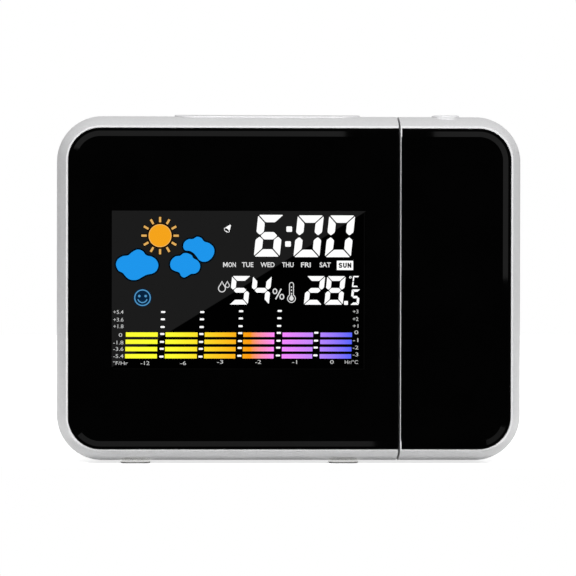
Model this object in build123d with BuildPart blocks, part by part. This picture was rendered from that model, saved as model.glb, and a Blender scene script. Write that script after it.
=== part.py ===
"""Projection alarm clock: a desk clock with a lit display and a projector arm that turns on its right end.

Millimetres. X runs to the right, the front faces -Y, and Z is up from the surface the feet stand on.
"""
from build123d import *
import os
from math import sqrt

# ---------------------------------------------------------------- casing
WIDTH = 155.0            # widest, at mid-depth of the swelling sides
HEIGHT = 114.9
DEPTH = 33.0
CORNER_R = 15.2          # outline corner at mid-depth
SWELL = 3.9              # how far the sides stand out beyond the front and back faces
WALL = 2.0
FACE_WALL = 1.6          # front wall, behind the acrylic panel
REAR_WALL = 2.0
END_WALL = 2.2           # walls that face each other across the seam
PARTING_BACK = 2.0       # parting line of front and rear case, behind mid-depth
SEAM_X = 36.1            # middle of the gap between clock and arm
SEAM_GAP = 0.6
FOOT_PROUD = 0.5         # casing's lowest line above the table
RING_PROUD = 1.6         # focus ring behind the back face

# ---------------------------------------------------------------- panel and display
PANEL_T = 1.8
LIP = 0.7                # silver edge left round the panel
ARM_LIP = 0.55           # silver edge of the arm along the seam
BEVEL = 2.9              # polished slope round the panel, seen from the front
BEVEL_DROP = 0.35
PANEL_FIT = 0.08
WINDOW = (-58.5, 24.8, -26.7, 25.6)   # left, right, bottom, top of the lit area, Z from mid-height
GLASS_EDGE = 2.5         # LCD glass beyond the lit area
GLASS_LEDGE = 4.0        # rear glass below the front one, where the contacts are
LCD_T = 2.2
GUIDE_T = 3.0
GUIDE_EDGE = (1.0, 0.5, 0.8, 1.0)     # light guide beyond the lit area: left, right, bottom, top
LED_STRIP_W = 1.6
LED_OUT = 0.8            # LEDs proud of their strip
LED_COUNT = 6
LED_HALF = 2.4
STRIP_EDGE = (0.8, 2.4)  # contact strip above the glass's lower edge: its two edges
SHEET_T = 0.3
FRAME_WALL = 1.2
FIT = 0.15               # loose fit of pieces laid in one another

# ---------------------------------------------------------------- boards and fasteners
BOARD_T = 1.6
BOARD_STAND = 4.6        # main board behind the front wall
BOARD_ENDS = (-66.0, 22.0)      # main board's left and right edges
BOARD_GAPS = (0.6, 3.5)         # between the case screws' bosses and its lower and upper edges
BOARD_SCREW_X = (-58.0, 16.0)
BOARD_SCREW_IN_Z = (2.3, 3.3)   # its screws from the lower and upper edges
BOARD_CORNER = 2.0
END_SCREW_X = 11.0       # case screws from the casing's ends
END_SCREW_Z = 14.0       # and from its top and bottom
SEAM_SCREW_X = 8.2       # case screws from the seam
SEAM_SCREW_Z = 11.2
SCREW_R = 1.3
SCREW_HEAD_R = 2.6
SCREW_HEAD = 1.8
SLOT_HALF = 0.5          # cross slot: half its width and half its length
SLOT_REACH = 1.6
SCREW_BITE = 7.0         # length of shank in the front case's boss
BOSS_R = 3.4
WELL_FLOOR = 3.0         # rear case under a screw's head
WELL_WALL = 1.4
SMALL_SCREW_R = 1.0
SMALL_HEAD_R = 1.9
SMALL_HEAD = 1.2
SMALL_BOSS_R = 2.5
THREAD_FIT = 0.05        # threads are left smooth, this far from their hole
CHIP = (-34.0, -20.0, -4.0, 10.0)
CHIP_T = 1.6
CHIP_EDGE = 0.5
CAPS = [(-8.0, 5.0), (0.0, 5.0)]
CAP_R = 2.6
CAP_LONG = 7.0
CRYSTAL = (-15.0, -5.0)
CRYSTAL_SIZE = (10.0, 4.4, 3.4)       # length, width, height
SENSOR = (7.6, 6.4, 2.6)              # width, height, depth
SENSOR_GRID = (2.0, 2.2)
SENSOR_HOLE = (1.1, 1.3, 0.8)         # width, height, depth
BUZZER_R = 6.0
BUZZER_T = 5.6
BUZZER_EDGE = 0.6
BUZZER_HOLE_R = 1.2
BUZZER_HOLE = 2.0

# ---------------------------------------------------------------- keys
MOVE_GAP = 0.05          # flat faces of pieces that move on each other
KEY_FIT = 0.25           # key in its hole
KEY_W = 8.6
KEY_H = 5.2
KEY_PROUD = 0.9
KEY_TRAVEL = 0.6
KEY_PITCH = 11.5
KEY_X = -42.0            # first of the row of rear keys
KEY_Z = 20.0             # above mid-height
KEY_NAMES = ["mode_key", "up_key", "down_key", "alarm_key", "memory_key", "unit_key"]
KEY_FLANGE = 1.0
KEY_FLANGE_T = 0.8
KEY_EDGE = 0.5
KEY_BOARD_T = 1.2
KEY_BOARD_EDGE = (9.5, 7.0, 8.0, 6.0) # beyond the first key, beyond the slider, below and above the row
KEY_BOARD_SCREW_DROP = 5.4
SWITCH = 6.0             # square tact switch
SWITCH_T = 3.4
PLUNGER_R = 1.7
PLUNGER = 0.9
BAR = (-38.6, 24.0)      # ends of the snooze bar's seat
BAR_SEAT_W = 15.0
BAR_FIT = 0.3
BAR_PROUD = 0.5
BAR_TRAVEL = 1.2
BAR_SKIN = 1.8
BAR_EDGE = 0.4
BAR_STEM_LOW = 7.0       # lower end of the bar's stem below the casing's top
STEM = 3.0
SKIRT_T = 1.3
SKIRT = 5.2              # skirt's lower edge below the casing's top
TAB_HALF = 4.0
TAB_OUT = 2.2
TAB_T = 1.2
SHELF_T = 1.5
SNOOZE_BOARD_HALF = 12.0
SMALL_BOARD_DEEP = 11.0
BOARD_SCREW_IN = 2.8     # screw from the end of a small board
ARM_KEY_OFF = 4.5        # to the left of the arm's middle
ARM_KEY_R = 4.7
ARM_KEY_TRAVEL = 0.8
ARM_KEY_FLANGE = 1.5
ARM_BOARD_LONG = 12.2
SCOOP_R = 8.0            # ball that presses the finger scoop in front of the arm's key
SCOOP_AHEAD = 7.0
SCOOP_DEEP = 1.3
SLIDER_X = 25.5
SLIDER_TRAVEL = 2.5
SLIDER_LONG = 5.0
SLIDER_WIDE = 3.4
SLIDER_PROUD = 0.8
SLIDER_FLANGE = (1.2, 0.7)            # sideways, up and down
SLIDER_RIB = (1.5, 0.6, 0.4)          # pitch, width and depth of the grooves in its grip
SLIDE_BODY = (9.0, 4.4)

# ---------------------------------------------------------------- batteries
CELL_R = 5.25
CELL_LONG = 44.5
CELL_PITCH = 11.2
CELL_COUNT = 3
NUB_R = 1.9
NUB = 0.8
BAY_X = -20.0
BAY_Z = -26.0
LEAF_REACH = 5.3         # from a cell's flat end to the wall, with its leaf pressed in
LEAF_TOP = 4.0
LEAF_CROWN = 1.2
LEAF_TIP = (1.4, 3.6)
CONTACT_HALF = 3.6
CELL_LIFT = 0.3
BAY_DEEP = 12.6
BAY_WALL = 1.2
CONTACT_T = 0.4
BAY_LONG = CELL_LONG + NUB + CONTACT_T + LEAF_REACH
DOOR_T = 1.5
DOOR_EDGE = 2.6          # door beyond the bay all round
DOOR_FIT = 0.2
DOOR_CORNER = 1.2
DOOR_TAB = 2.0
DOOR_TAB_T = 1.0
DOOR_TAB_HALF = 3.0
DOOR_CLIP_HALF = 4.0
GRIP_COUNT = 4
GRIP_FIRST = 2.4
GRIP_PITCH = 1.6
GRIP_HALF = (6.0, 0.4)
GRIP_DEEP = 0.5

# ---------------------------------------------------------------- pivot
TUBE_R = 5.0
TUBE_BORE_R = 3.2
TUBE_FLANGE_R = 9.0
FLANGE_T = 1.6
BUSH_WALL = 1.5
BUSH_FLANGE_R = 8.0
BUSH_FLANGE_T = 1.2
SEAT_FIT = 0.02          # pieces pressed or clipped into one another
RUN_FIT = 0.05           # radial clearance of turning and sliding fits
WASHER_T = 0.4
WASHER_RISE = 0.5
CLIP_T = 1.0
CLIP_R = 7.4
CLIP_GROOVE = 0.6        # groove's depth
CLIP_MOUTH = 3.4
TUBE_END = 1.2           # tube beyond its clip
GROMMET_LONG = 3.0
WIRE_R = 1.3
WIRE_BEND = 2.6
WIRE_X = 10.0            # where the wires turn forward to the board
PLUG = 3.0
WIRE_OUT = 1.0           # where the wires of clock and arm meet, beyond the tube's flange

# ---------------------------------------------------------------- projector
LENS_Z = 24.0            # above mid-height
BARREL_R = 7.7
BARREL_WALL = 1.3
BARREL_LONG = 10.8
BARREL_IN = 2.3          # barrel's rear edge below the ring's, at rest
FOCUS_TRAVEL = 1.0
HOUSING_R = 10.6
HOUSING_BORE_R = 9.0
HOUSING_STEP = 20.4      # depth behind the front face where the bore narrows
GUIDE_R = 9.1
GUIDE_GAP = 0.3
RING_R = 11.5
RING_FLANGE = 1.5
RING_FLANGE_T = 1.0
RIB_COUNT = 30
RIB_R = 0.45
DISH_DEEP = 1.2
PROJECTOR_BOARD = 24.0
BOARD_TAIL = 5.0         # projector board below its square, where the wires plug in
PLUG_IN = 4.0            # middle of the wires' plug from the board's left edge
PROJECTOR_STAND = 1.6    # board in front of the arm's front wall
EAR_INSET = 2.3          # screw from the corner of the projector's square flange
FLANGE_DEEP = 1.6
LED_R = 2.5
LED_LONG = 5.0
LED_DOME = 2.25
LED_RIM = (0.4, 0.8)     # width and height
CONDENSER_EDGE = 1.0
CONDENSER_DOME = 2.6
CONDENSER_Y = 12.0       # depth behind the front face
OBJECTIVE_EDGE = 1.6
OBJECTIVE_DOME = 1.2
BARREL_LIP = 0.8
BARREL_EDGE = 0.5
IMAGE_LCD = 12.4
IMAGE_LCD_T = 1.6

# ---------------------------------------------------------------- feet, jack, vents
FOOT_X = (-51.0, 18.0)
FOOT_Y = 8.0             # either side of mid-depth
FOOT_LONG = 10.0
FOOT_WIDE = 5.0
FOOT_SEAT = 2.3          # seat's height above the table
FOOT_EDGE = 0.3
JACK_X = 21.0
JACK_Z = -27.0
JACK_R = 2.8             # mouth of the socket
JACK_PIN_R = 0.85
JACK_SLEEVE_R = 4.2
JACK_DEEP = 9.0
JACK_BODY = 9.2
JACK_SUNK = 0.2
JACK_END = 2.0           # socket's closed end
JACK_PIN_SUNK = 1.0
VENT_X = -58.5
VENT_Z = 27.0
VENT_COUNT = 6
VENT_PITCH = 3.0
VENT_LONG = 12.0
VENT_WIDE = 1.2
SOUND_Z = 0.0
SOUND_HOLE_R = 0.8
SOUND_RING_R = 3.2

# ---------------------------------------------------------------- stations worked out from the above
AXIS_Z = HEIGHT / 2 + FOOT_PROUD
TOP_Z = HEIGHT + FOOT_PROUD
FRONT_Y = -(DEPTH + RING_PROUD) / 2
BACK_Y = FRONT_Y + DEPTH
MID_Y = FRONT_Y + DEPTH / 2
PARTING_Y = MID_Y + PARTING_BACK
SEAM_LEFT = SEAM_X - SEAM_GAP / 2
SEAM_RIGHT = SEAM_X + SEAM_GAP / 2
FLANK_R = (SWELL**2 + (DEPTH / 2) ** 2) / (2 * SWELL)
CORNER_X = WIDTH / 2 - CORNER_R
CORNER_Z = HEIGHT / 2 - CORNER_R
PANEL_W = WIDTH - 2 * (SWELL + LIP)
PANEL_H = HEIGHT - 2 * (SWELL + LIP)
PANEL_R = CORNER_R - SWELL - LIP
PANEL_BACK = FRONT_Y + PANEL_T
FACE_BACK = PANEL_BACK + FACE_WALL
LCD_BACK = PANEL_BACK + LCD_T
GUIDE_BACK = LCD_BACK + GUIDE_T
BOARD_FRONT = FACE_BACK + BOARD_STAND
BOARD_BACK = BOARD_FRONT + BOARD_T
REAR_INSIDE = BACK_Y - REAR_WALL
LENS_X = (SEAM_RIGHT + WIDTH / 2) / 2
ARM_KEY_X = LENS_X - ARM_KEY_OFF
END_X = WIDTH / 2 - END_SCREW_X
END_Z = HEIGHT / 2 - END_SCREW_Z
SEAM_Z = HEIGHT / 2 - SEAM_SCREW_Z
MAIN_SEAM_X = SEAM_LEFT - SEAM_SCREW_X
ARM_SEAM_X = SEAM_RIGHT + SEAM_SCREW_X
BOSS_EDGE = END_Z - BOSS_R
BOARD = (*BOARD_ENDS, BOARD_GAPS[0] - BOSS_EDGE, BOSS_EDGE - BOARD_GAPS[1])
BOARD_SCREW_Z = (BOARD[2] + BOARD_SCREW_IN_Z[0], BOARD[3] - BOARD_SCREW_IN_Z[1])
BOARD_SCREWS = [(x, z) for x in BOARD_SCREW_X for z in BOARD_SCREW_Z]
MAIN_SCREWS = [(-END_X, END_Z), (MAIN_SEAM_X, SEAM_Z), (-END_X, -END_Z), (MAIN_SEAM_X, -SEAM_Z)]
ARM_SCREWS = [(ARM_SEAM_X, SEAM_Z), (END_X, END_Z), (ARM_SEAM_X, -SEAM_Z), (END_X, -END_Z)]
EVERYWHERE = 400.0       # larger than the clock, for blocks that only cut

os.makedirs("parts", exist_ok=True)


# ---------------------------------------------------------------- drawing helpers
def face_at(y):
    """Upright plane at depth y seen from the front: X to the right, Z up, its normal towards the front."""
    return Plane.XZ.offset(-y)


def end_at(x):
    """Upright plane across the clock at x: depth Y to the right, Z up, its normal to the right."""
    return Plane.YZ.offset(x)


def block(x, y, z, mode=Mode.ADD):
    """Rectangular block between three pairs of limits."""
    with BuildSketch(Plane.XY.offset(z[0])) as outline:
        with Locations(((x[0] + x[1]) / 2, (y[0] + y[1]) / 2)):
            Rectangle(x[1] - x[0], y[1] - y[0])
    extrude(outline.sketch, amount=z[1] - z[0], mode=mode)


def rods_y(points, radius, y, mode=Mode.ADD):
    """Round bars along the depth, at (X, height above mid-height) points, between two depths."""
    with BuildSketch(face_at(y[1])) as outline:
        with Locations(*[(px, AXIS_Z + pz) for px, pz in points]):
            Circle(radius)
    extrude(outline.sketch, amount=y[1] - y[0], mode=mode)


def rod_x(radius, x, mode=Mode.ADD):
    """Round bar along the pivot axis between two stations."""
    with BuildSketch(end_at(x[0])) as outline:
        with Locations((MID_Y, AXIS_Z)):
            Circle(radius)
    extrude(outline.sketch, amount=x[1] - x[0], mode=mode)


def plate(limits, y, mode=Mode.ADD, grow=0.0):
    """Upright plate: left, right, bottom, top (heights from mid-height) between two depths."""
    left, right, bottom, top = limits
    block(
        (left - grow, right + grow),
        y,
        (AXIS_Z + bottom - grow, AXIS_Z + top + grow),
        mode=mode,
    )


def swelling_section(half, flank_r, front, back):
    """Section across the casing: flat at front and back, an outward arc on either side."""
    front_half = half - flank_r + sqrt(flank_r**2 - (front - MID_Y) ** 2)
    back_half = half - flank_r + sqrt(flank_r**2 - (back - MID_Y) ** 2)
    with BuildSketch(mode=Mode.PRIVATE) as section:
        with BuildLine():
            ThreePointArc((-back_half, back), (-half, MID_Y), (-front_half, front))
            Line((-front_half, front), (front_half, front))
            ThreePointArc((front_half, front), (half, MID_Y), (back_half, back))
            Line((back_half, back), (-back_half, back))
        make_face()
    return section.sketch


def corner_barrel(inset, front, back):
    """Barrel that rounds a corner, turned about its own axis along the depth."""
    with BuildPart() as barrel:
        with BuildSketch(Plane.XY):
            add(swelling_section(CORNER_R - inset, FLANK_R - inset, front, back))
            with Locations((EVERYWHERE / 2, 0)):
                Rectangle(EVERYWHERE, EVERYWHERE, mode=Mode.INTERSECT)
        revolve(axis=Axis.Y)
    return barrel.part


def casing_form(inset, x, front=FRONT_Y, back=BACK_Y):
    """Casing's outer form drawn in by inset, between two X stations: two swelling bars and four barrels."""
    flank_r = FLANK_R - inset
    barrel = corner_barrel(inset, front, back)
    with BuildPart() as form:
        with BuildSketch(Plane.XY.offset(AXIS_Z)):
            add(swelling_section(WIDTH / 2 - inset, flank_r, front, back))
        extrude(amount=CORNER_Z, both=True)
        with BuildSketch(Plane((0, 0, AXIS_Z), x_dir=(0, 0, 1), z_dir=(-1, 0, 0))):
            add(swelling_section(HEIGHT / 2 - inset, flank_r, front, back))
        extrude(amount=CORNER_X, both=True)
        corners = [(sx * CORNER_X, 0, AXIS_Z + sz * CORNER_Z) for sx in (-1, 1) for sz in (-1, 1)]
        with Locations(*corners):
            add(barrel)
        block(x, (-EVERYWHERE, EVERYWHERE), (-EVERYWHERE, EVERYWHERE), mode=Mode.INTERSECT)
    return form.part


def panel_form(grow, x, bevelled):
    """Front panel's outline between two X stations, with the polished slope round its rim if bevelled."""
    with BuildPart() as form:
        with BuildSketch(face_at(PANEL_BACK)):
            with Locations((0, AXIS_Z)):
                RectangleRounded(PANEL_W + 2 * grow, PANEL_H + 2 * grow, PANEL_R + grow)
        extrude(amount=PANEL_T)
        if bevelled:
            rim_face = form.faces().sort_by(Axis.Y)[0]
            chamfer(rim_face.edges(), length=BEVEL, length2=BEVEL_DROP, reference=rim_face)
        block(x, (-EVERYWHERE, EVERYWHERE), (-EVERYWHERE, EVERYWHERE), mode=Mode.INTERSECT)
    return form.part


def bar_column(width, long_by, z, mode=Mode.ADD):
    """Upright round-ended column of the snooze bar: width across, and how far past the seat's ends."""
    with BuildSketch(Plane.XY.offset(z[0])) as outline:
        with Locations(((BAR[0] + BAR[1]) / 2, MID_Y)):
            SlotOverall(BAR[1] - BAR[0] + 2 * long_by, width)
    extrude(outline.sketch, amount=z[1] - z[0], mode=mode)


def foot_pads(grow, z, sides, mode=Mode.ADD):
    """Round-ended pads under the clock, on the front (-1) and rear (1) sides that are asked for."""
    with BuildSketch(Plane.XY.offset(z[0])) as outline:
        with Locations(*[(x, MID_Y + side * FOOT_Y) for x in FOOT_X for side in sides]):
            SlotOverall(FOOT_LONG + 2 * grow, FOOT_WIDE + 2 * grow)
    extrude(outline.sketch, amount=z[1] - z[0], mode=mode)


def key_pills(points, grow, y, mode=Mode.ADD):
    """Round-ended key caps between two depths."""
    with BuildSketch(face_at(y[1])) as outline:
        with Locations(*[(px, AXIS_Z + pz) for px, pz in points]):
            SlotOverall(KEY_W + 2 * grow, KEY_H + 2 * grow)
    extrude(outline.sketch, amount=y[1] - y[0], mode=mode)


def tact_switch(plane):
    """Square tact switch standing on the plane, with its round plunger."""
    with BuildPart() as switch:
        with BuildSketch(plane):
            Rectangle(SWITCH, SWITCH)
        extrude(amount=SWITCH_T)
        with BuildSketch(plane.offset(SWITCH_T)):
            Circle(PLUNGER_R)
        extrude(amount=PLUNGER)
    return switch.part


def save(part, name):
    """Labels a finished piece and writes its STEP file."""
    part.label = name
    export_step(part, f"parts/{name}.step")


# ---------------------------------------------------------------- front case
INSIDE = casing_form(WALL, (-EVERYWHERE, SEAM_LEFT - END_WALL), FACE_BACK, REAR_INSIDE)
GLASS = (
    WINDOW[0] - GLASS_EDGE,
    WINDOW[1] + GLASS_EDGE,
    WINDOW[2] - GLASS_EDGE - GLASS_LEDGE,
    WINDOW[3] + GLASS_EDGE,
)
MAIN_OUTSIDE = casing_form(0, (-EVERYWHERE, SEAM_LEFT))
MAIN_POCKET = panel_form(PANEL_FIT, (-EVERYWHERE, EVERYWHERE), bevelled=False)
BUSH_R = TUBE_R + RUN_FIT + BUSH_WALL

with BuildPart() as front_case:
    add(MAIN_OUTSIDE)
    block((-EVERYWHERE, EVERYWHERE), (-EVERYWHERE, PARTING_Y), (-EVERYWHERE, EVERYWHERE), mode=Mode.INTERSECT)
    add(INSIDE, mode=Mode.SUBTRACT)
    add(MAIN_POCKET, mode=Mode.SUBTRACT)
    rods_y(MAIN_SCREWS, BOSS_R, (FACE_BACK, PARTING_Y))
    rods_y(MAIN_SCREWS, SCREW_R + THREAD_FIT, (PARTING_Y - SCREW_BITE, PARTING_Y), mode=Mode.SUBTRACT)
    rods_y(BOARD_SCREWS, SMALL_BOSS_R, (FACE_BACK, BOARD_FRONT))
    rods_y(BOARD_SCREWS, SMALL_SCREW_R + THREAD_FIT, (FACE_BACK, BOARD_FRONT), mode=Mode.SUBTRACT)
    plate(GLASS, (PANEL_BACK, FACE_BACK), mode=Mode.SUBTRACT, grow=FIT)
    bar_column(BAR_SEAT_W, 0, (TOP_Z - 2 * WALL, TOP_Z + WALL), mode=Mode.SUBTRACT)
    foot_pads(THREAD_FIT, (0, FOOT_SEAT), (-1,), mode=Mode.SUBTRACT)
    rod_x(BUSH_R + SEAT_FIT, (SEAM_LEFT - END_WALL, SEAM_LEFT), mode=Mode.SUBTRACT)
save(front_case.part, "front_case")


# ---------------------------------------------------------------- rear case
KEY_POINTS = [(KEY_X + i * KEY_PITCH, KEY_Z) for i in range(len(KEY_NAMES))]
BAY_HIGH = CELL_COUNT * CELL_PITCH
BAY = (
    BAY_X - BAY_LONG / 2,
    BAY_X + BAY_LONG / 2,
    BAY_Z - BAY_HIGH / 2,
    BAY_Z + BAY_HIGH / 2,
)
BAY_FLOOR = BACK_Y - DOOR_T - BAY_DEEP
SCREW_SEAT = PARTING_Y + WELL_FLOOR


def screw_wells(points):
    """Column from the rear wall to the parting line for each screw, with its sunk head and clear hole."""
    rods_y(points, SCREW_HEAD_R + WELL_WALL, (PARTING_Y, REAR_INSIDE))
    rods_y(points, SCREW_HEAD_R + FIT, (SCREW_SEAT, BACK_Y), mode=Mode.SUBTRACT)
    rods_y(points, SCREW_R + FIT, (PARTING_Y, BACK_Y), mode=Mode.SUBTRACT)


def battery_bay():
    """Walled bay for the cells, open to the rear, with a ledge for the door and ribs between the cells."""
    plate(BAY, (BAY_FLOOR - BAY_WALL, REAR_INSIDE), grow=BAY_WALL)
    plate(BAY, (BAY_FLOOR, BACK_Y), mode=Mode.SUBTRACT)
    plate(BAY, (BACK_Y - DOOR_T, BACK_Y), mode=Mode.SUBTRACT, grow=DOOR_EDGE + DOOR_FIT)


def rear_openings():
    """Vent slots over the sensor, sound holes over the buzzer, and the holes for keys, slider and socket."""
    rows = [(VENT_X, AXIS_Z + VENT_Z + (i - (VENT_COUNT - 1) / 2) * VENT_PITCH) for i in range(VENT_COUNT)]
    with BuildSketch(face_at(BACK_Y)) as outline:
        with Locations(*rows):
            SlotOverall(VENT_LONG, VENT_WIDE)
        with Locations((VENT_X, AXIS_Z + SOUND_Z)):
            Circle(SOUND_HOLE_R)
            with PolarLocations(SOUND_RING_R, 6):
                Circle(SOUND_HOLE_R)
        with Locations((SLIDER_X + SLIDER_TRAVEL / 2, AXIS_Z + KEY_Z)):
            Rectangle(SLIDER_LONG + SLIDER_TRAVEL + 2 * KEY_FIT, SLIDER_WIDE + 2 * KEY_FIT)
        with Locations((JACK_X, AXIS_Z + JACK_Z)):
            Circle(JACK_SLEEVE_R + FIT)
    extrude(outline.sketch, amount=REAR_WALL, mode=Mode.SUBTRACT)
    key_pills(KEY_POINTS, KEY_FIT, (REAR_INSIDE, BACK_Y), mode=Mode.SUBTRACT)


KEY_BOARD = (
    KEY_X - KEY_BOARD_EDGE[0],
    SLIDER_X + KEY_BOARD_EDGE[1],
    KEY_Z - KEY_BOARD_EDGE[2],
    KEY_Z + KEY_BOARD_EDGE[3],
)
KEY_BOARD_SCREWS = [
    (x, KEY_Z - KEY_BOARD_SCREW_DROP) for x in (KEY_X - KEY_PITCH / 2, KEY_POINTS[-1][0] + KEY_PITCH / 2)
]
CAP_FRONT = REAR_INSIDE - MOVE_GAP - KEY_FLANGE_T
KEY_BOARD_BACK = CAP_FRONT - KEY_TRAVEL - MOVE_GAP - PLUNGER - SWITCH_T
KEY_BOARD_FRONT = KEY_BOARD_BACK - KEY_BOARD_T

BAR_STEM = TOP_Z - BAR_STEM_LOW
SNOOZE_BOARD_TOP = BAR_STEM - BAR_TRAVEL - MOVE_GAP - PLUNGER - SWITCH_T
SNOOZE_SHELF = SNOOZE_BOARD_TOP - KEY_BOARD_T
BAR_MID = (BAR[0] + BAR[1]) / 2
SNOOZE_BOARD = (BAR_MID - SNOOZE_BOARD_HALF, BAR_MID + SNOOZE_BOARD_HALF)
SNOOZE_SCREWS = [(x, MID_Y) for x in (SNOOZE_BOARD[0] + BOARD_SCREW_IN, SNOOZE_BOARD[1] - BOARD_SCREW_IN)]
BOARD_FRONT_EDGE = MID_Y - SMALL_BOARD_DEEP / 2


def board_shelf(x, z):
    """Shelf that stands forward from the rear wall to carry a small level board, its top at z."""
    block(x, (BOARD_FRONT_EDGE, REAR_INSIDE), (z - SHELF_T, z))


def pilot_holes(points, z):
    """Screw holes down through a shelf whose top is at z."""
    with BuildSketch(Plane.XY.offset(z - SHELF_T)) as outline:
        with Locations(*points):
            Circle(SMALL_SCREW_R + THREAD_FIT)
    extrude(outline.sketch, amount=SHELF_T, mode=Mode.SUBTRACT)


def jack_ribs():
    """Two ribs that hold the power socket from either side."""
    for side in (-1, 1):
        x = sorted((JACK_X + side * (JACK_BODY / 2 + THREAD_FIT), JACK_X + side * (JACK_BODY / 2 + BAY_WALL)))
        block(
            x,
            (REAR_INSIDE - JACK_DEEP, REAR_INSIDE),
            (AXIS_Z + JACK_Z - JACK_BODY / 2, AXIS_Z + JACK_Z + JACK_BODY / 2),
        )


with BuildPart() as rear_case:
    add(MAIN_OUTSIDE)
    block((-EVERYWHERE, EVERYWHERE), (PARTING_Y, EVERYWHERE), (-EVERYWHERE, EVERYWHERE), mode=Mode.INTERSECT)
    add(INSIDE, mode=Mode.SUBTRACT)
    screw_wells(MAIN_SCREWS)
    battery_bay()
    board_shelf(SNOOZE_BOARD, SNOOZE_SHELF)
    pilot_holes(SNOOZE_SCREWS, SNOOZE_SHELF)
    jack_ribs()
    rear_openings()
    rods_y(KEY_BOARD_SCREWS, SMALL_BOSS_R, (KEY_BOARD_BACK, REAR_INSIDE))
    rods_y(KEY_BOARD_SCREWS, SMALL_SCREW_R + THREAD_FIT, (KEY_BOARD_BACK, REAR_INSIDE), mode=Mode.SUBTRACT)
    bar_column(BAR_SEAT_W, 0, (TOP_Z - 2 * WALL, TOP_Z + WALL), mode=Mode.SUBTRACT)
    foot_pads(THREAD_FIT, (0, FOOT_SEAT), (1,), mode=Mode.SUBTRACT)
    rod_x(BUSH_R + SEAT_FIT, (SEAM_LEFT - END_WALL, SEAM_LEFT), mode=Mode.SUBTRACT)
save(rear_case.part, "rear_case")


# ---------------------------------------------------------------- front panel and display
with BuildPart() as front_panel:
    add(panel_form(0, (-EVERYWHERE, SEAM_LEFT), bevelled=True))
save(front_panel.part, "front_panel")

FRONT_GLASS = (GLASS[0], GLASS[1], GLASS[2] + GLASS_LEDGE, GLASS[3])
GLASS_JOINT = (PANEL_BACK + LCD_BACK) / 2

with BuildPart() as lcd_glass:
    plate(FRONT_GLASS, (PANEL_BACK, GLASS_JOINT))
    plate(GLASS, (GLASS_JOINT, LCD_BACK))
save(lcd_glass.part, "lcd_glass")

GUIDE = (
    WINDOW[0] - GUIDE_EDGE[0],
    WINDOW[1] + GUIDE_EDGE[1],
    WINDOW[2] - GUIDE_EDGE[2],
    WINDOW[3] + GUIDE_EDGE[3],
)
LED_STRIP = (GUIDE[1] + FIT, GUIDE[1] + FIT + LED_STRIP_W, GUIDE[2], GUIDE[3])
LIGHT_POCKET = (GUIDE[0], LED_STRIP[1], GUIDE[2], GUIDE[3])
STRIP = (WINDOW[0], BOARD[1] - SMALL_SCREW_R, GLASS[2] + STRIP_EDGE[0], GLASS[2] + STRIP_EDGE[1])
SHEET_BACK = GUIDE_BACK + SHEET_T

with BuildPart() as lcd_frame:
    plate(GLASS, (FACE_BACK, BOARD_FRONT), grow=FIT + FRAME_WALL)
    plate(GLASS, (FACE_BACK, LCD_BACK), mode=Mode.SUBTRACT, grow=FIT)
    plate(LIGHT_POCKET, (LCD_BACK, BOARD_FRONT), mode=Mode.SUBTRACT, grow=FIT)
    plate(STRIP, (LCD_BACK, BOARD_FRONT), mode=Mode.SUBTRACT, grow=FIT)
save(lcd_frame.part, "lcd_frame")

with BuildPart() as light_guide:
    plate(GUIDE, (LCD_BACK, GUIDE_BACK))
save(light_guide.part, "light_guide")

with BuildPart() as reflector_sheet:
    plate(GUIDE, (GUIDE_BACK, SHEET_BACK))
save(reflector_sheet.part, "reflector_sheet")

with BuildPart() as backlight_board:
    plate((LED_STRIP[0] + LED_OUT, LED_STRIP[1], LED_STRIP[2], LED_STRIP[3]), (LCD_BACK, GUIDE_BACK))
    for i in range(LED_COUNT):
        middle = LED_STRIP[2] + (i + 0.5) * (LED_STRIP[3] - LED_STRIP[2]) / LED_COUNT
        led = (LED_STRIP[0], LED_STRIP[0] + LED_OUT, middle - LED_HALF, middle + LED_HALF)
        plate(led, (LCD_BACK, GUIDE_BACK))
save(backlight_board.part, "backlight_board")

with BuildPart() as lcd_connector:
    plate(STRIP, (LCD_BACK, BOARD_FRONT))
save(lcd_connector.part, "lcd_connector")


# ---------------------------------------------------------------- boards and what is soldered to them
def back_facing(x, z, y):
    """Plane at depth y, at a point given from mid-height, that looks to the rear."""
    return Plane((x, y, AXIS_Z + z), x_dir=(1, 0, 0), z_dir=(0, 1, 0))


with BuildPart() as main_board:
    plate(BOARD, (BOARD_FRONT, BOARD_BACK))
    rods_y(BOARD_SCREWS, SMALL_SCREW_R + FIT, (BOARD_FRONT, BOARD_BACK), mode=Mode.SUBTRACT)
    fillet(main_board.edges().filter_by(Axis.Y).filter_by(GeomType.LINE), radius=BOARD_CORNER)
save(main_board.part, "main_board")

with BuildPart() as controller_chip:
    plate(CHIP, (BOARD_BACK, BOARD_BACK + CHIP_T))
    chamfer(controller_chip.faces().sort_by(Axis.Y)[-1].edges(), length=CHIP_EDGE)
save(controller_chip.part, "controller_chip")

with BuildPart() as board_parts:
    rods_y(CAPS, CAP_R, (BOARD_BACK, BOARD_BACK + CAP_LONG))
    with BuildSketch(back_facing(*CRYSTAL, BOARD_BACK)):
        SlotOverall(CRYSTAL_SIZE[0], CRYSTAL_SIZE[1])
    extrude(amount=CRYSTAL_SIZE[2])
    plate((WIRE_X - PLUG, WIRE_X + PLUG, -PLUG / 2, PLUG / 2), (BOARD_BACK, BOARD_BACK + PLUG))
save(board_parts.part, "board_parts")

SENSOR_BACK = BOARD_BACK + SENSOR[2]

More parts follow.
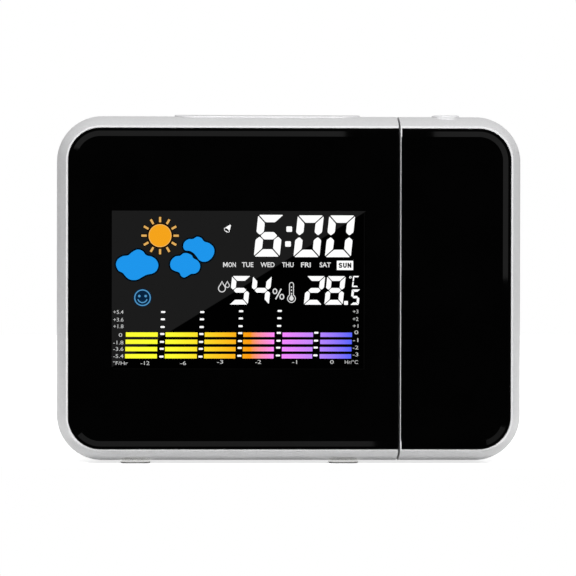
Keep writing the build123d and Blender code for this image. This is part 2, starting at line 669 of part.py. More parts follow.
with BuildPart() as thermo_sensor:
    with BuildSketch(back_facing(VENT_X, VENT_Z, BOARD_BACK)):
        Rectangle(SENSOR[0], SENSOR[1])
    extrude(amount=SENSOR[2])
    with BuildSketch(back_facing(VENT_X, VENT_Z, SENSOR_BACK)):
        with GridLocations(*SENSOR_GRID, 3, 2):
            Rectangle(SENSOR_HOLE[0], SENSOR_HOLE[1])
    extrude(amount=-SENSOR_HOLE[2], mode=Mode.SUBTRACT)
save(thermo_sensor.part, "thermo_sensor")

BUZZER_BACK = BOARD_BACK + BUZZER_T

with BuildPart() as buzzer:
    rods_y([(VENT_X, SOUND_Z)], BUZZER_R, (BOARD_BACK, BUZZER_BACK))
    fillet(buzzer.edges().filter_by(GeomType.CIRCLE).sort_by(Axis.Y)[-1], radius=BUZZER_EDGE)
    rods_y([(VENT_X, SOUND_Z)], BUZZER_HOLE_R, (BUZZER_BACK - BUZZER_HOLE, BUZZER_BACK), mode=Mode.SUBTRACT)
save(buzzer.part, "buzzer")

with BuildPart() as key_board:
    plate(KEY_BOARD, (KEY_BOARD_FRONT, KEY_BOARD_BACK))
    rods_y(KEY_BOARD_SCREWS, SMALL_SCREW_R + FIT, (KEY_BOARD_FRONT, KEY_BOARD_BACK), mode=Mode.SUBTRACT)
save(key_board.part, "key_board")

with BuildPart() as key_switches:
    for x, z in KEY_POINTS:
        add(tact_switch(back_facing(x, z, KEY_BOARD_BACK)))
save(key_switches.part, "key_switches")

SLIDER_MID = SLIDER_X + SLIDER_TRAVEL / 2
SLIDER_FRONT = REAR_INSIDE - MOVE_GAP - KEY_FLANGE_T
SLIDE_BODY_BACK = SLIDER_FRONT - MOVE_GAP

with BuildPart() as slide_switch:
    with BuildSketch(back_facing(SLIDER_MID, KEY_Z, KEY_BOARD_BACK)):
        Rectangle(*SLIDE_BODY)
    extrude(amount=SLIDE_BODY_BACK - KEY_BOARD_BACK)
save(slide_switch.part, "slide_switch")

with BuildPart() as snooze_board:
    block(
        SNOOZE_BOARD,
        (BOARD_FRONT_EDGE, BOARD_FRONT_EDGE + SMALL_BOARD_DEEP),
        (SNOOZE_SHELF, SNOOZE_BOARD_TOP),
    )
    with Locations(*[(x, y, SNOOZE_BOARD_TOP) for x, y in SNOOZE_SCREWS]):
        Hole(SMALL_SCREW_R + FIT)
save(snooze_board.part, "snooze_board")

with BuildPart() as snooze_switch:
    add(tact_switch(Plane((BAR_MID, MID_Y, SNOOZE_BOARD_TOP))))
save(snooze_switch.part, "snooze_switch")

with BuildPart() as dc_jack:
    jack_end = REAR_INSIDE - JACK_DEEP - JACK_END
    with BuildSketch(back_facing(JACK_X, JACK_Z, jack_end)):
        Rectangle(JACK_BODY, JACK_BODY)
    extrude(amount=REAR_INSIDE - jack_end)
    rods_y([(JACK_X, JACK_Z)], JACK_SLEEVE_R, (REAR_INSIDE, BACK_Y - JACK_SUNK))
    rods_y([(JACK_X, JACK_Z)], JACK_R, (REAR_INSIDE - JACK_DEEP, BACK_Y), mode=Mode.SUBTRACT)
    rods_y([(JACK_X, JACK_Z)], JACK_PIN_R, (REAR_INSIDE - JACK_DEEP, BACK_Y - JACK_PIN_SUNK))
save(dc_jack.part, "dc_jack")


# ---------------------------------------------------------------- batteries, contacts and door
CELL_Y = BAY_FLOOR + CELL_LIFT + CELL_R


def along_x(x, y, z):
    """Upright plane across the clock at a point, its normal to the right."""
    return Plane((x, y, z), x_dir=(0, 1, 0), z_dir=(1, 0, 0))


def cell_height(i):
    """Height of the i-th cell's middle, from mid-height."""
    return BAY[2] + (i + 0.5) * CELL_PITCH


with BuildPart() as battery_cells:
    for i in range(CELL_COUNT):
        side = 1 if i % 2 == 0 else -1
        wall_x = BAY[1] if side > 0 else BAY[0]
        shoulder = wall_x - side * (CONTACT_T + NUB)
        with BuildSketch(along_x(shoulder, CELL_Y, AXIS_Z + cell_height(i))):
            Circle(CELL_R)
        extrude(amount=-side * CELL_LONG)
        with BuildSketch(along_x(shoulder, CELL_Y, AXIS_Z + cell_height(i))):
            Circle(NUB_R)
        extrude(amount=side * NUB)
save(battery_cells.part, "battery_cells")

with BuildPart() as battery_tabs:
    for i in range(CELL_COUNT):
        x = (BAY[1] - CONTACT_T, BAY[1]) if i % 2 == 0 else (BAY[0], BAY[0] + CONTACT_T)
        middle = AXIS_Z + cell_height(i)
        block(x, (BAY_FLOOR, CELL_Y + CONTACT_HALF), (middle - CONTACT_HALF, middle + CONTACT_HALF))
save(battery_tabs.part, "battery_tabs")

with BuildPart() as battery_leaves:
    for i in range(CELL_COUNT):
        side = 1 if i % 2 == 0 else -1
        wall_x = BAY[0] if side > 0 else BAY[1]
        first = CONTACT_T / 2
        last = LEAF_REACH - CONTACT_T / 2
        middle = (wall_x, CELL_Y, AXIS_Z + cell_height(i))
        with BuildSketch(Plane(middle, x_dir=(side, 0, 0), z_dir=(0, 0, side))):
            with BuildLine():
                Polyline(
                    (first, -CELL_R),
                    (first, LEAF_TOP),
                    (last, LEAF_CROWN),
                    (last, -LEAF_CROWN),
                    (LEAF_TIP[0], -LEAF_TIP[1]),
                )
            trace(line_width=CONTACT_T)
        extrude(amount=CONTACT_HALF, both=True)
save(battery_leaves.part, "battery_leaves")

with BuildPart() as battery_door:
    plate(BAY, (BACK_Y - DOOR_T, BACK_Y), grow=DOOR_EDGE)
    fillet(battery_door.edges().filter_by(Axis.Y), radius=DOOR_CORNER)
    tab_y = (BACK_Y - DOOR_T - DOOR_TAB, BACK_Y - DOOR_T)
    low = BAY[2] + FIT
    for middle in (BAY_X - BAY_LONG / 3, BAY_X + BAY_LONG / 3):
        plate((middle - DOOR_TAB_HALF, middle + DOOR_TAB_HALF, low, low + DOOR_TAB_T), tab_y)
    high = BAY[3] - FIT
    plate((BAY_X - DOOR_CLIP_HALF, BAY_X + DOOR_CLIP_HALF, high - DOOR_TAB_T, high), tab_y)
    for i in range(GRIP_COUNT):
        grip = BAY[3] - GRIP_FIRST - i * GRIP_PITCH
        grip_limits = (BAY_X - GRIP_HALF[0], BAY_X + GRIP_HALF[0], grip - GRIP_HALF[1], grip + GRIP_HALF[1])
        plate(grip_limits, (BACK_Y - GRIP_DEEP, BACK_Y), mode=Mode.SUBTRACT)
save(battery_door.part, "battery_door")


# ---------------------------------------------------------------- keys, slider and snooze bar
def flank_drop(inset, off):
    """How far the casing's top, drawn in by inset, has fallen at a distance from mid-depth."""
    flank_r = FLANK_R - inset
    return flank_r - sqrt(flank_r**2 - off**2)


for name, point in zip(KEY_NAMES, KEY_POINTS):
    with BuildPart() as key:
        key_pills([point], 0, (CAP_FRONT, BACK_Y + KEY_PROUD))
        fillet(key.faces().sort_by(Axis.Y)[-1].edges(), radius=KEY_EDGE)
        key_pills([point], KEY_FLANGE, (CAP_FRONT, CAP_FRONT + KEY_FLANGE_T))
    save(key.part, name)

with BuildPart() as hold_slider:
    with BuildSketch(back_facing(SLIDER_X, KEY_Z, SLIDER_FRONT)):
        Rectangle(SLIDER_LONG, SLIDER_WIDE)
    extrude(amount=BACK_Y + SLIDER_PROUD - SLIDER_FRONT)
    with BuildSketch(back_facing(SLIDER_X, KEY_Z, BACK_Y + SLIDER_PROUD)):
        with GridLocations(SLIDER_RIB[0], 0, 3, 1):
            Rectangle(SLIDER_RIB[1], SLIDER_WIDE)
    extrude(amount=-SLIDER_RIB[2], mode=Mode.SUBTRACT)
    with BuildSketch(back_facing(SLIDER_X, KEY_Z, SLIDER_FRONT)):
        Rectangle(SLIDER_LONG + 2 * SLIDER_FLANGE[0], SLIDER_WIDE + 2 * SLIDER_FLANGE[1])
    extrude(amount=KEY_FLANGE_T)
save(hold_slider.part, "hold_slider")

BAR_WIDE = BAR_SEAT_W - 2 * BAR_FIT
SKIRT_LOW = TOP_Z - SKIRT
TAB_TOP = TOP_Z - WALL - flank_drop(WALL, TAB_HALF) - MOVE_GAP
BAR_OUTSIDE = casing_form(-BAR_PROUD, BAR)

with BuildPart() as snooze_bar:
    bar_column(BAR_WIDE, -BAR_FIT, (SKIRT_LOW, TOP_Z + WALL))
    add(BAR_OUTSIDE, mode=Mode.INTERSECT)
    fillet(snooze_bar.faces().sort_by(Axis.Z)[-1].edges(), radius=BAR_EDGE)
    bar_column(BAR_WIDE - 2 * SKIRT_T, -BAR_FIT - SKIRT_T, (SKIRT_LOW, TOP_Z - BAR_SKIN), mode=Mode.SUBTRACT)
    for x in ((BAR[0] - TAB_OUT, BAR[0] + SKIRT_T), (BAR[1] - SKIRT_T, BAR[1] + TAB_OUT)):
        block(x, (MID_Y - TAB_HALF, MID_Y + TAB_HALF), (TAB_TOP - TAB_T, TAB_TOP))
    stem_y = (MID_Y - STEM / 2, MID_Y + STEM / 2)
    block((BAR_MID - STEM, BAR_MID + STEM), stem_y, (BAR_STEM, TOP_Z - BAR_SKIN))
save(snooze_bar.part, "snooze_bar")


# ---------------------------------------------------------------- pivot between clock and arm
BUSH_FACE = SEAM_LEFT - END_WALL - BUSH_FLANGE_T
CLIP_RIGHT = BUSH_FACE - WASHER_T - WASHER_RISE - MOVE_GAP
CLIP_LEFT = CLIP_RIGHT - CLIP_T
TUBE_LEFT = CLIP_LEFT - TUBE_END
ARM_WALL_X = SEAM_RIGHT + END_WALL
TUBE_RIGHT = ARM_WALL_X + FLANGE_T

with BuildPart() as pivot_bush:
    rod_x(BUSH_R, (BUSH_FACE, SEAM_LEFT))
    rod_x(BUSH_FLANGE_R, (BUSH_FACE, BUSH_FACE + BUSH_FLANGE_T))
    rod_x(TUBE_R + RUN_FIT, (BUSH_FACE, SEAM_LEFT), mode=Mode.SUBTRACT)
save(pivot_bush.part, "pivot_bush")

with BuildPart() as friction_washer:
    inner, outer = TUBE_R + FIT, BUSH_FLANGE_R
    with BuildSketch(Plane((0, MID_Y, AXIS_Z))):
        with BuildLine():
            Polyline(
                (BUSH_FACE, outer),
                (BUSH_FACE - WASHER_T, outer),
                (BUSH_FACE - WASHER_T - WASHER_RISE, inner),
                (BUSH_FACE - WASHER_RISE, inner),
                close=True,
            )
        make_face()
    revolve(axis=Axis((0, MID_Y, AXIS_Z), (1, 0, 0)))
save(friction_washer.part, "friction_washer")

with BuildPart() as pivot_tube:
    rod_x(TUBE_R, (TUBE_LEFT, TUBE_RIGHT))
    rod_x(TUBE_FLANGE_R, (ARM_WALL_X, TUBE_RIGHT))
    rod_x(TUBE_BORE_R, (TUBE_LEFT, TUBE_RIGHT), mode=Mode.SUBTRACT)
    with BuildSketch(end_at(CLIP_LEFT - SEAT_FIT)):
        with Locations((MID_Y, AXIS_Z)):
            Circle(TUBE_R + SEAT_FIT)
            Circle(TUBE_R - CLIP_GROOVE, mode=Mode.SUBTRACT)
    extrude(amount=CLIP_T + 2 * SEAT_FIT, mode=Mode.SUBTRACT)
save(pivot_tube.part, "pivot_tube")

with BuildPart() as pivot_clip:
    rod_x(CLIP_R, (CLIP_LEFT, CLIP_RIGHT))
    rod_x(TUBE_R - CLIP_GROOVE + SEAT_FIT, (CLIP_LEFT, CLIP_RIGHT), mode=Mode.SUBTRACT)
    block(
        (CLIP_LEFT, CLIP_RIGHT),
        (MID_Y, MID_Y + CLIP_R),
        (AXIS_Z - CLIP_MOUTH, AXIS_Z + CLIP_MOUTH),
        mode=Mode.SUBTRACT,
    )
save(pivot_clip.part, "pivot_clip")

with BuildPart() as wire_grommet:
    rod_x(TUBE_BORE_R - SEAT_FIT, (TUBE_RIGHT - GROMMET_LONG, TUBE_RIGHT))
    rod_x(WIRE_R + RUN_FIT, (TUBE_RIGHT - GROMMET_LONG, TUBE_RIGHT), mode=Mode.SUBTRACT)
save(wire_grommet.part, "wire_grommet")

WIRE_END = TUBE_RIGHT + WIRE_OUT
PLUG_BACK = BOARD_BACK + PLUG

with BuildPart() as main_wires:
    with BuildLine() as route:
        FilletPolyline(
            (WIRE_X, PLUG_BACK, AXIS_Z), (WIRE_X, MID_Y, AXIS_Z), (WIRE_END, MID_Y, AXIS_Z), radius=WIRE_BEND
        )
    with BuildSketch(back_facing(WIRE_X, 0, PLUG_BACK)):
        Circle(WIRE_R)
    sweep()
save(main_wires.part, "main_wires")


# ---------------------------------------------------------------- projector arm's cases
ARM_OUTSIDE = casing_form(0, (SEAM_RIGHT, EVERYWHERE))
ARM_INSIDE = casing_form(WALL, (ARM_WALL_X, EVERYWHERE), FACE_BACK, REAR_INSIDE)
ARM_POCKET = panel_form(PANEL_FIT, (SEAM_RIGHT + ARM_LIP - PANEL_FIT, EVERYWHERE), bevelled=False)
PROJECTOR_FRONT = FACE_BACK + PROJECTOR_STAND
PROJECTOR_BACK = PROJECTOR_FRONT + KEY_BOARD_T
EAR = PROJECTOR_BOARD / 2 - EAR_INSET
EARS = [(LENS_X + sx * EAR, LENS_Z + sz * EAR) for sx in (-1, 1) for sz in (-1, 1)]
ARM_KEY_HOLE_R = ARM_KEY_R + KEY_FIT
ARM_KEY_FLANGE_R = ARM_KEY_R + ARM_KEY_FLANGE
ARM_KEY_FLANGE_TOP = TOP_Z - WALL - flank_drop(WALL, ARM_KEY_FLANGE_R) - MOVE_GAP
ARM_KEY_LOW = ARM_KEY_FLANGE_TOP - KEY_FLANGE_T
ARM_BOARD_TOP = ARM_KEY_LOW - ARM_KEY_TRAVEL - MOVE_GAP - PLUNGER - SWITCH_T
ARM_SHELF = ARM_BOARD_TOP - KEY_BOARD_T
ARM_BOARD = (ARM_KEY_X - SWITCH / 2 - FIT, ARM_KEY_X - SWITCH / 2 - FIT + ARM_BOARD_LONG)
ARM_BOARD_SCREW = [(ARM_BOARD[1] - BOARD_SCREW_IN, MID_Y)]
RING_HOLE_R = RING_R + KEY_FIT


def rod_z(x, radius, z, mode=Mode.ADD):
    """Upright round bar at mid-depth."""
    with BuildSketch(Plane.XY.offset(z[0])) as outline:
        with Locations((x, MID_Y)):
            Circle(radius)
    extrude(outline.sketch, amount=z[1] - z[0], mode=mode)


with BuildPart() as arm_front_case:
    add(ARM_OUTSIDE)
    block((-EVERYWHERE, EVERYWHERE), (-EVERYWHERE, PARTING_Y), (-EVERYWHERE, EVERYWHERE), mode=Mode.INTERSECT)
    add(ARM_INSIDE, mode=Mode.SUBTRACT)
    add(ARM_POCKET, mode=Mode.SUBTRACT)
    rods_y(ARM_SCREWS, BOSS_R, (FACE_BACK, PARTING_Y))
    rods_y(ARM_SCREWS, SCREW_R + THREAD_FIT, (PARTING_Y - SCREW_BITE, PARTING_Y), mode=Mode.SUBTRACT)
    rods_y(EARS, SMALL_BOSS_R, (FACE_BACK, PROJECTOR_FRONT))
    rods_y(EARS, SMALL_SCREW_R + THREAD_FIT, (FACE_BACK, PROJECTOR_FRONT), mode=Mode.SUBTRACT)
    rod_z(ARM_KEY_X, ARM_KEY_HOLE_R, (TOP_Z - 2 * WALL, TOP_Z), mode=Mode.SUBTRACT)
    rod_x(TUBE_R + SEAT_FIT, (SEAM_RIGHT, ARM_WALL_X), mode=Mode.SUBTRACT)
    scoop_z = TOP_Z - flank_drop(0, SCOOP_AHEAD) + SCOOP_R - SCOOP_DEEP
    with Locations((ARM_KEY_X, MID_Y - SCOOP_AHEAD, scoop_z)):
        Sphere(SCOOP_R, mode=Mode.SUBTRACT)
save(arm_front_case.part, "arm_front_case")

with BuildPart() as arm_rear_case:
    add(ARM_OUTSIDE)
    block((-EVERYWHERE, EVERYWHERE), (PARTING_Y, EVERYWHERE), (-EVERYWHERE, EVERYWHERE), mode=Mode.INTERSECT)
    add(ARM_INSIDE, mode=Mode.SUBTRACT)
    screw_wells(ARM_SCREWS)
    board_shelf(ARM_BOARD, ARM_SHELF)
    pilot_holes(ARM_BOARD_SCREW, ARM_SHELF)
    rods_y([(LENS_X, LENS_Z)], RING_HOLE_R, (REAR_INSIDE, BACK_Y), mode=Mode.SUBTRACT)
    rod_z(ARM_KEY_X, ARM_KEY_HOLE_R, (TOP_Z - 2 * WALL, TOP_Z), mode=Mode.SUBTRACT)
    rod_x(TUBE_R + SEAT_FIT, (SEAM_RIGHT, ARM_WALL_X), mode=Mode.SUBTRACT)
save(arm_rear_case.part, "arm_rear_case")

with BuildPart() as arm_panel:
    add(panel_form(0, (SEAM_RIGHT + ARM_LIP, EVERYWHERE), bevelled=True))
save(arm_panel.part, "arm_panel")


# ---------------------------------------------------------------- projection key on the arm
with BuildPart() as projection_key:
    rod_z(ARM_KEY_X, ARM_KEY_R, (ARM_KEY_LOW, TOP_Z + BAR_PROUD))
    fillet(projection_key.edges().filter_by(GeomType.CIRCLE).sort_by(Axis.Z)[-1], radius=KEY_EDGE)
    rod_z(ARM_KEY_X, ARM_KEY_FLANGE_R, (ARM_KEY_LOW, ARM_KEY_FLANGE_TOP))
save(projection_key.part, "projection_key")

with BuildPart() as arm_key_board:
    block(
        ARM_BOARD,
        (BOARD_FRONT_EDGE, BOARD_FRONT_EDGE + SMALL_BOARD_DEEP),
        (ARM_SHELF, ARM_BOARD_TOP),
    )
    with Locations(*[(x, y, ARM_BOARD_TOP) for x, y in ARM_BOARD_SCREW]):
        Hole(SMALL_SCREW_R + FIT)
save(arm_key_board.part, "arm_key_board")

with BuildPart() as arm_key_switch:
    add(tact_switch(Plane((ARM_KEY_X, MID_Y, ARM_BOARD_TOP))))
save(arm_key_switch.part, "arm_key_switch")


# ---------------------------------------------------------------- projector
BORE_STEP = FRONT_Y + HOUSING_STEP
RING_FRONT = REAR_INSIDE - MOVE_GAP - RING_FLANGE_T
RING_BACK = BACK_Y + RING_PROUD
GUIDE_END = RING_FRONT - GUIDE_GAP
BARREL_BACK = RING_BACK - BARREL_IN
BARREL_FRONT = BARREL_BACK - BARREL_LONG
AXIS_POINT = [(LENS_X, LENS_Z)]
BOARD_SIDES = (LENS_X - PROJECTOR_BOARD / 2, LENS_X + PROJECTOR_BOARD / 2)
BOARD_RISE = (LENS_Z - PROJECTOR_BOARD / 2, LENS_Z + PROJECTOR_BOARD / 2)


def dome(edge_y, radius, height, towards):
    """Shallow cap of glass on a flat at edge_y, turned about the optical axis."""
    ball_r = (radius**2 + height**2) / (2 * height)
    with BuildPart() as cap:
        with BuildSketch(Plane((LENS_X, edge_y, AXIS_Z + LENS_Z), x_dir=(1, 0, 0), z_dir=(0, 0, 1))):
            with BuildLine():
                RadiusArc((0, towards * height), (radius, 0), towards * ball_r)
                Line((radius, 0), (0, 0))
                Line((0, 0), (0, towards * height))
            make_face()
        revolve(axis=Axis((LENS_X, edge_y, AXIS_Z + LENS_Z), (0, 1, 0)))
    return cap.part


with BuildPart() as projector_housing:
    plate((*BOARD_SIDES, *BOARD_RISE), (PROJECTOR_BACK, PROJECTOR_BACK + FLANGE_DEEP))
    rods_y(AXIS_POINT, HOUSING_R, (PROJECTOR_BACK, BORE_STEP + FLANGE_DEEP))
    rods_y(AXIS_POINT, GUIDE_R, (BORE_STEP, GUIDE_END))
    rods_y(AXIS_POINT, HOUSING_BORE_R, (PROJECTOR_BACK, BORE_STEP), mode=Mode.SUBTRACT)
    rods_y(AXIS_POINT, BARREL_R + RUN_FIT, (BORE_STEP, GUIDE_END), mode=Mode.SUBTRACT)
    rods_y(EARS, SMALL_SCREW_R + FIT, (PROJECTOR_BACK, PROJECTOR_BACK + FLANGE_DEEP), mode=Mode.SUBTRACT)
save(projector_housing.part, "projector_housing")

with BuildPart() as projector_board:
    plug_low = BOARD_RISE[0] - BOARD_TAIL
    plate((*BOARD_SIDES, plug_low, BOARD_RISE[1]), (PROJECTOR_FRONT, PROJECTOR_BACK))
    rods_y(EARS, SMALL_SCREW_R + FIT, (PROJECTOR_FRONT, PROJECTOR_BACK), mode=Mode.SUBTRACT)
    plug_x = BOARD_SIDES[0] + PLUG_IN
    plate((plug_x - PLUG, plug_x + PLUG, plug_low, plug_low + PLUG), (PROJECTOR_BACK, PROJECTOR_BACK + PLUG))
save(projector_board.part, "projector_board")

with BuildPart() as arm_wires:
    wire_y = PROJECTOR_BACK + PLUG / 2
    with BuildLine() as route:
        FilletPolyline(
            (WIRE_END + MOVE_GAP, MID_Y, AXIS_Z),
            (plug_x, MID_Y, AXIS_Z),
            (plug_x, wire_y, AXIS_Z),
            (plug_x, wire_y, AXIS_Z + plug_low),
            radius=WIRE_BEND,
        )
    with BuildSketch(along_x(WIRE_END + MOVE_GAP, MID_Y, AXIS_Z)):
        Circle(WIRE_R)
    sweep()
save(arm_wires.part, "arm_wires")

with BuildPart() as projector_led:
    dome_y = PROJECTOR_BACK + LED_LONG - LED_DOME
    rods_y(AXIS_POINT, LED_R, (PROJECTOR_BACK, dome_y))
    add(dome(dome_y, LED_R, LED_DOME, 1))
    rods_y(AXIS_POINT, LED_R + LED_RIM[0], (PROJECTOR_BACK, PROJECTOR_BACK + LED_RIM[1]))
save(projector_led.part, "projector_led")

with BuildPart() as condenser_lens:
    lens_y = FRONT_Y + CONDENSER_Y
    rods_y(AXIS_POINT, HOUSING_BORE_R - THREAD_FIT, (lens_y, lens_y + CONDENSER_EDGE))
    add(dome(lens_y + CONDENSER_EDGE, HOUSING_BORE_R - THREAD_FIT, CONDENSER_DOME, 1))
save(condenser_lens.part, "condenser_lens")

with BuildPart() as image_lcd:
    with BuildSketch(back_facing(LENS_X, LENS_Z, BORE_STEP - IMAGE_LCD_T)):
        Rectangle(IMAGE_LCD, IMAGE_LCD)
    extrude(amount=IMAGE_LCD_T)
save(image_lcd.part, "image_lcd")

with BuildPart() as lens_barrel:
    rods_y(AXIS_POINT, BARREL_R, (BARREL_FRONT, BARREL_BACK))
    rods_y(AXIS_POINT, BARREL_R - BARREL_WALL, (BARREL_FRONT, BARREL_BACK - BARREL_LIP), mode=Mode.SUBTRACT)
    rods_y(AXIS_POINT, BARREL_R - BARREL_WALL - BARREL_LIP, (BARREL_FRONT, BARREL_BACK), mode=Mode.SUBTRACT)
    rear_edges = lens_barrel.edges().filter_by(GeomType.CIRCLE).group_by(Axis.Y)[-1]
    chamfer(rear_edges.sort_by(SortBy.RADIUS)[0], length=BARREL_EDGE)
save(lens_barrel.part, "lens_barrel")

with BuildPart() as objective_lens:
    glass_r = BARREL_R - BARREL_WALL - THREAD_FIT
    glass_back = BARREL_BACK - BARREL_LIP
    rods_y(AXIS_POINT, glass_r, (glass_back - OBJECTIVE_EDGE, glass_back))
    add(dome(glass_back - OBJECTIVE_EDGE, glass_r, OBJECTIVE_DOME, -1))
    add(dome(glass_back, BARREL_R - BARREL_WALL - BARREL_LIP - THREAD_FIT, OBJECTIVE_DOME / 2, 1))
save(objective_lens.part, "objective_lens")

with BuildPart() as focus_ring:
    rods_y(AXIS_POINT, RING_R, (RING_FRONT, RING_BACK))
    rods_y(AXIS_POINT, RING_R + RING_FLANGE, (RING_FRONT, RING_FRONT + RING_FLANGE_T))
    rods_y(AXIS_POINT, BARREL_R + RUN_FIT, (RING_FRONT, RING_BACK), mode=Mode.SUBTRACT)
    rear_edges = focus_ring.edges().filter_by(GeomType.CIRCLE).group_by(Axis.Y)[-1]
    chamfer(rear_edges.sort_by(SortBy.RADIUS)[0], length=DISH_DEEP)
    with BuildSketch(face_at(RING_BACK)):
        with Locations((LENS_X, AXIS_Z + LENS_Z)):
            with PolarLocations(RING_R, RIB_COUNT):
                Circle(RIB_R)
    extrude(amount=RING_PROUD, mode=Mode.SUBTRACT)
save(focus_ring.part, "focus_ring")


# ---------------------------------------------------------------- screws and feet
def case_screw(x, z):
    """Self-tapping screw with a domed pan head, driven from the rear into a front case's boss."""
    rods_y([(x, z)], SCREW_R, (PARTING_Y - SCREW_BITE + MOVE_GAP, SCREW_SEAT))
    rods_y([(x, z)], SCREW_HEAD_R, (SCREW_SEAT, SCREW_SEAT + SCREW_HEAD))
    for across, up in ((SLOT_HALF, SLOT_REACH), (SLOT_REACH, SLOT_HALF)):
        slot = (x - across, x + across, z - up, z + up)
        plate(slot, (SCREW_SEAT + SCREW_HEAD / 2, SCREW_SEAT + SCREW_HEAD), Mode.SUBTRACT)


def board_screw(plane, through):
    """Small screw whose head rests on the plane; its shank runs down through the board into a boss."""
    with BuildSketch(plane) as head:
        Circle(SMALL_HEAD_R)
    extrude(head.sketch, amount=SMALL_HEAD)
    with BuildSketch(plane) as shank:
        Circle(SMALL_SCREW_R)
    extrude(shank.sketch, amount=-through)


with BuildPart() as case_screws:
    for x, z in MAIN_SCREWS:
        case_screw(x, z)
save(case_screws.part, "case_screws")

with BuildPart() as arm_screws:
    for x, z in ARM_SCREWS:
        case_screw(x, z)
save(arm_screws.part, "arm_screws")

with BuildPart() as board_screws:
    for x, z in BOARD_SCREWS:
        board_screw(back_facing(x, z, BOARD_BACK), BOARD_T + BOARD_STAND - MOVE_GAP)
    for x, z in KEY_BOARD_SCREWS:
        board_screw(Plane((x, KEY_BOARD_FRONT, AXIS_Z + z), z_dir=(0, -1, 0)), KEY_BOARD_T + BOARD_STAND)
    for x, y in SNOOZE_SCREWS:
        board_screw(Plane((x, y, SNOOZE_BOARD_TOP)), KEY_BOARD_T + SHELF_T)
save(board_screws.part, "board_screws")

with BuildPart() as projector_screws:
    for x, z in EARS:
        board_screw(
            back_facing(x, z, PROJECTOR_BACK + FLANGE_DEEP),
            FLANGE_DEEP + KEY_BOARD_T + PROJECTOR_STAND - MOVE_GAP,
        )
    for x, y in ARM_BOARD_SCREW:
        board_screw(Plane((x, y, ARM_BOARD_TOP)), KEY_BOARD_T + SHELF_T)
save(projector_screws.part, "projector_screws")

with BuildPart() as rubber_feet:
    foot_pads(0, (0, FOOT_SEAT), (-1, 1))
    chamfer(rubber_feet.faces().group_by(Axis.Z)[0].edges(), length=FOOT_EDGE)
save(rubber_feet.part, "rubber_feet")
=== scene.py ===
"""Looks of a bedside projection alarm clock.

Silver casing, black acrylic front, colour display and a projector arm that turns at its right end.
"""

import bpy
import numpy as np
from mathutils import Matrix, Vector


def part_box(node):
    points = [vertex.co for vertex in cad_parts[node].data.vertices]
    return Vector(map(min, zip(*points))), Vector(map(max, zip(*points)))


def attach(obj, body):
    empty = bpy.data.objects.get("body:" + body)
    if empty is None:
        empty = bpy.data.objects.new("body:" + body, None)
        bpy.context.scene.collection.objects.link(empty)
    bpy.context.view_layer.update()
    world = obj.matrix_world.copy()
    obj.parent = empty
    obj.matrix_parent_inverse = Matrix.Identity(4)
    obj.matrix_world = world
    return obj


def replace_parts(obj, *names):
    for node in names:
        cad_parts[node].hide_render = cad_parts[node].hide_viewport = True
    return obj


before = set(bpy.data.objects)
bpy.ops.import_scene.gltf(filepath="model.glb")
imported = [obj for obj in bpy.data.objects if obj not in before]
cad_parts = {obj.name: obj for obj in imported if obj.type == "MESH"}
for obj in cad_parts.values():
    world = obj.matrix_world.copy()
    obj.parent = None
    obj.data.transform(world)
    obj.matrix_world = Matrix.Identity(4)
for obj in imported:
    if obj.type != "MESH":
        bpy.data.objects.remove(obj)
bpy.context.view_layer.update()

MM = 0.001

# ---------------------------------------------------------------- studio
# A light tent: white floor, white cloth, and softboxes above and below the front, at the right and behind.
# Those behind don't show in gloss. The tent is open where the camera stands, so the polished front stays
# black, but for dim cards that draw its rim. A painted glow turns the floor fully white away from the clock.
MID_HEIGHT = 57.95
CAMERA_PLACE = (-22.34, -900.48, 67.42)
CAMERA_TURN = (1.4071, 0.5947, 0.0973)
CAMERA_LENS = 167.82
FLOOR_BACK = 1.5
FLOOR_FRONT = -0.025
SHADOW_REACH = (0.2, 0.6)
FLOOR_GLOW = (0.7, 1.0)
SURROUND = 0.12
MIRRORED = 0.55
OPENING = (-0.84, -0.7)
scene = bpy.context.scene
scene.view_settings.view_transform = "Standard"


def linear(code):
    """Linear RGBA of an sRGB hex colour: c/12.92 below 0.04045, ((c + 0.055)/1.055)^2.4 above."""
    c = np.array([int(code[i : i + 2], 16) for i in (0, 2, 4)]) / 255
    return (*np.where(c <= 0.04045, c / 12.92, ((c + 0.055) / 1.055) ** 2.4).tolist(), 1.0)


def add(tree, kind, sockets=None, **settings):
    """Adds a node: settings are its attributes; sockets maps inputs to values or to other nodes' outputs."""
    node = tree.nodes.new(kind)
    for name, value in settings.items():
        setattr(node, name, value)
    for name, value in (sockets or {}).items():
        if isinstance(value, bpy.types.NodeSocket):
            tree.links.new(value, node.inputs[name])
        else:
            node.inputs[name].default_value = value
    return node


def material(name, **values):
    """New material with one Principled shader, whose sockets take the values named with _ for a space."""
    new = bpy.data.materials.new(name)
    new.use_nodes = True
    shader = new.node_tree.nodes["Principled BSDF"]
    for key, value in values.items():
        shader.inputs[key.replace("_", " ")].default_value = value
    return new, new.node_tree, shader


def mesh_piece(name, points, faces, finish):
    """Flat-shaded mesh object at the origin, from points in millimetres and lists of corner numbers."""
    mesh = bpy.data.meshes.new(name)
    placed = (np.asarray(points, float) * MM).tolist()
    mesh.from_pydata(placed, [], [list(map(int, face)) for face in faces])
    mesh.update()
    mesh.shade_flat()
    mesh.materials.append(finish)
    piece = bpy.data.objects.new(name, mesh)
    scene.collection.objects.link(piece)
    return piece


def wear(finish, *nodes):
    """Gives CAD nodes this material in all their slots."""
    for name in nodes:
        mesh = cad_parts[name].data
        mesh.materials.clear()
        mesh.materials.append(finish)


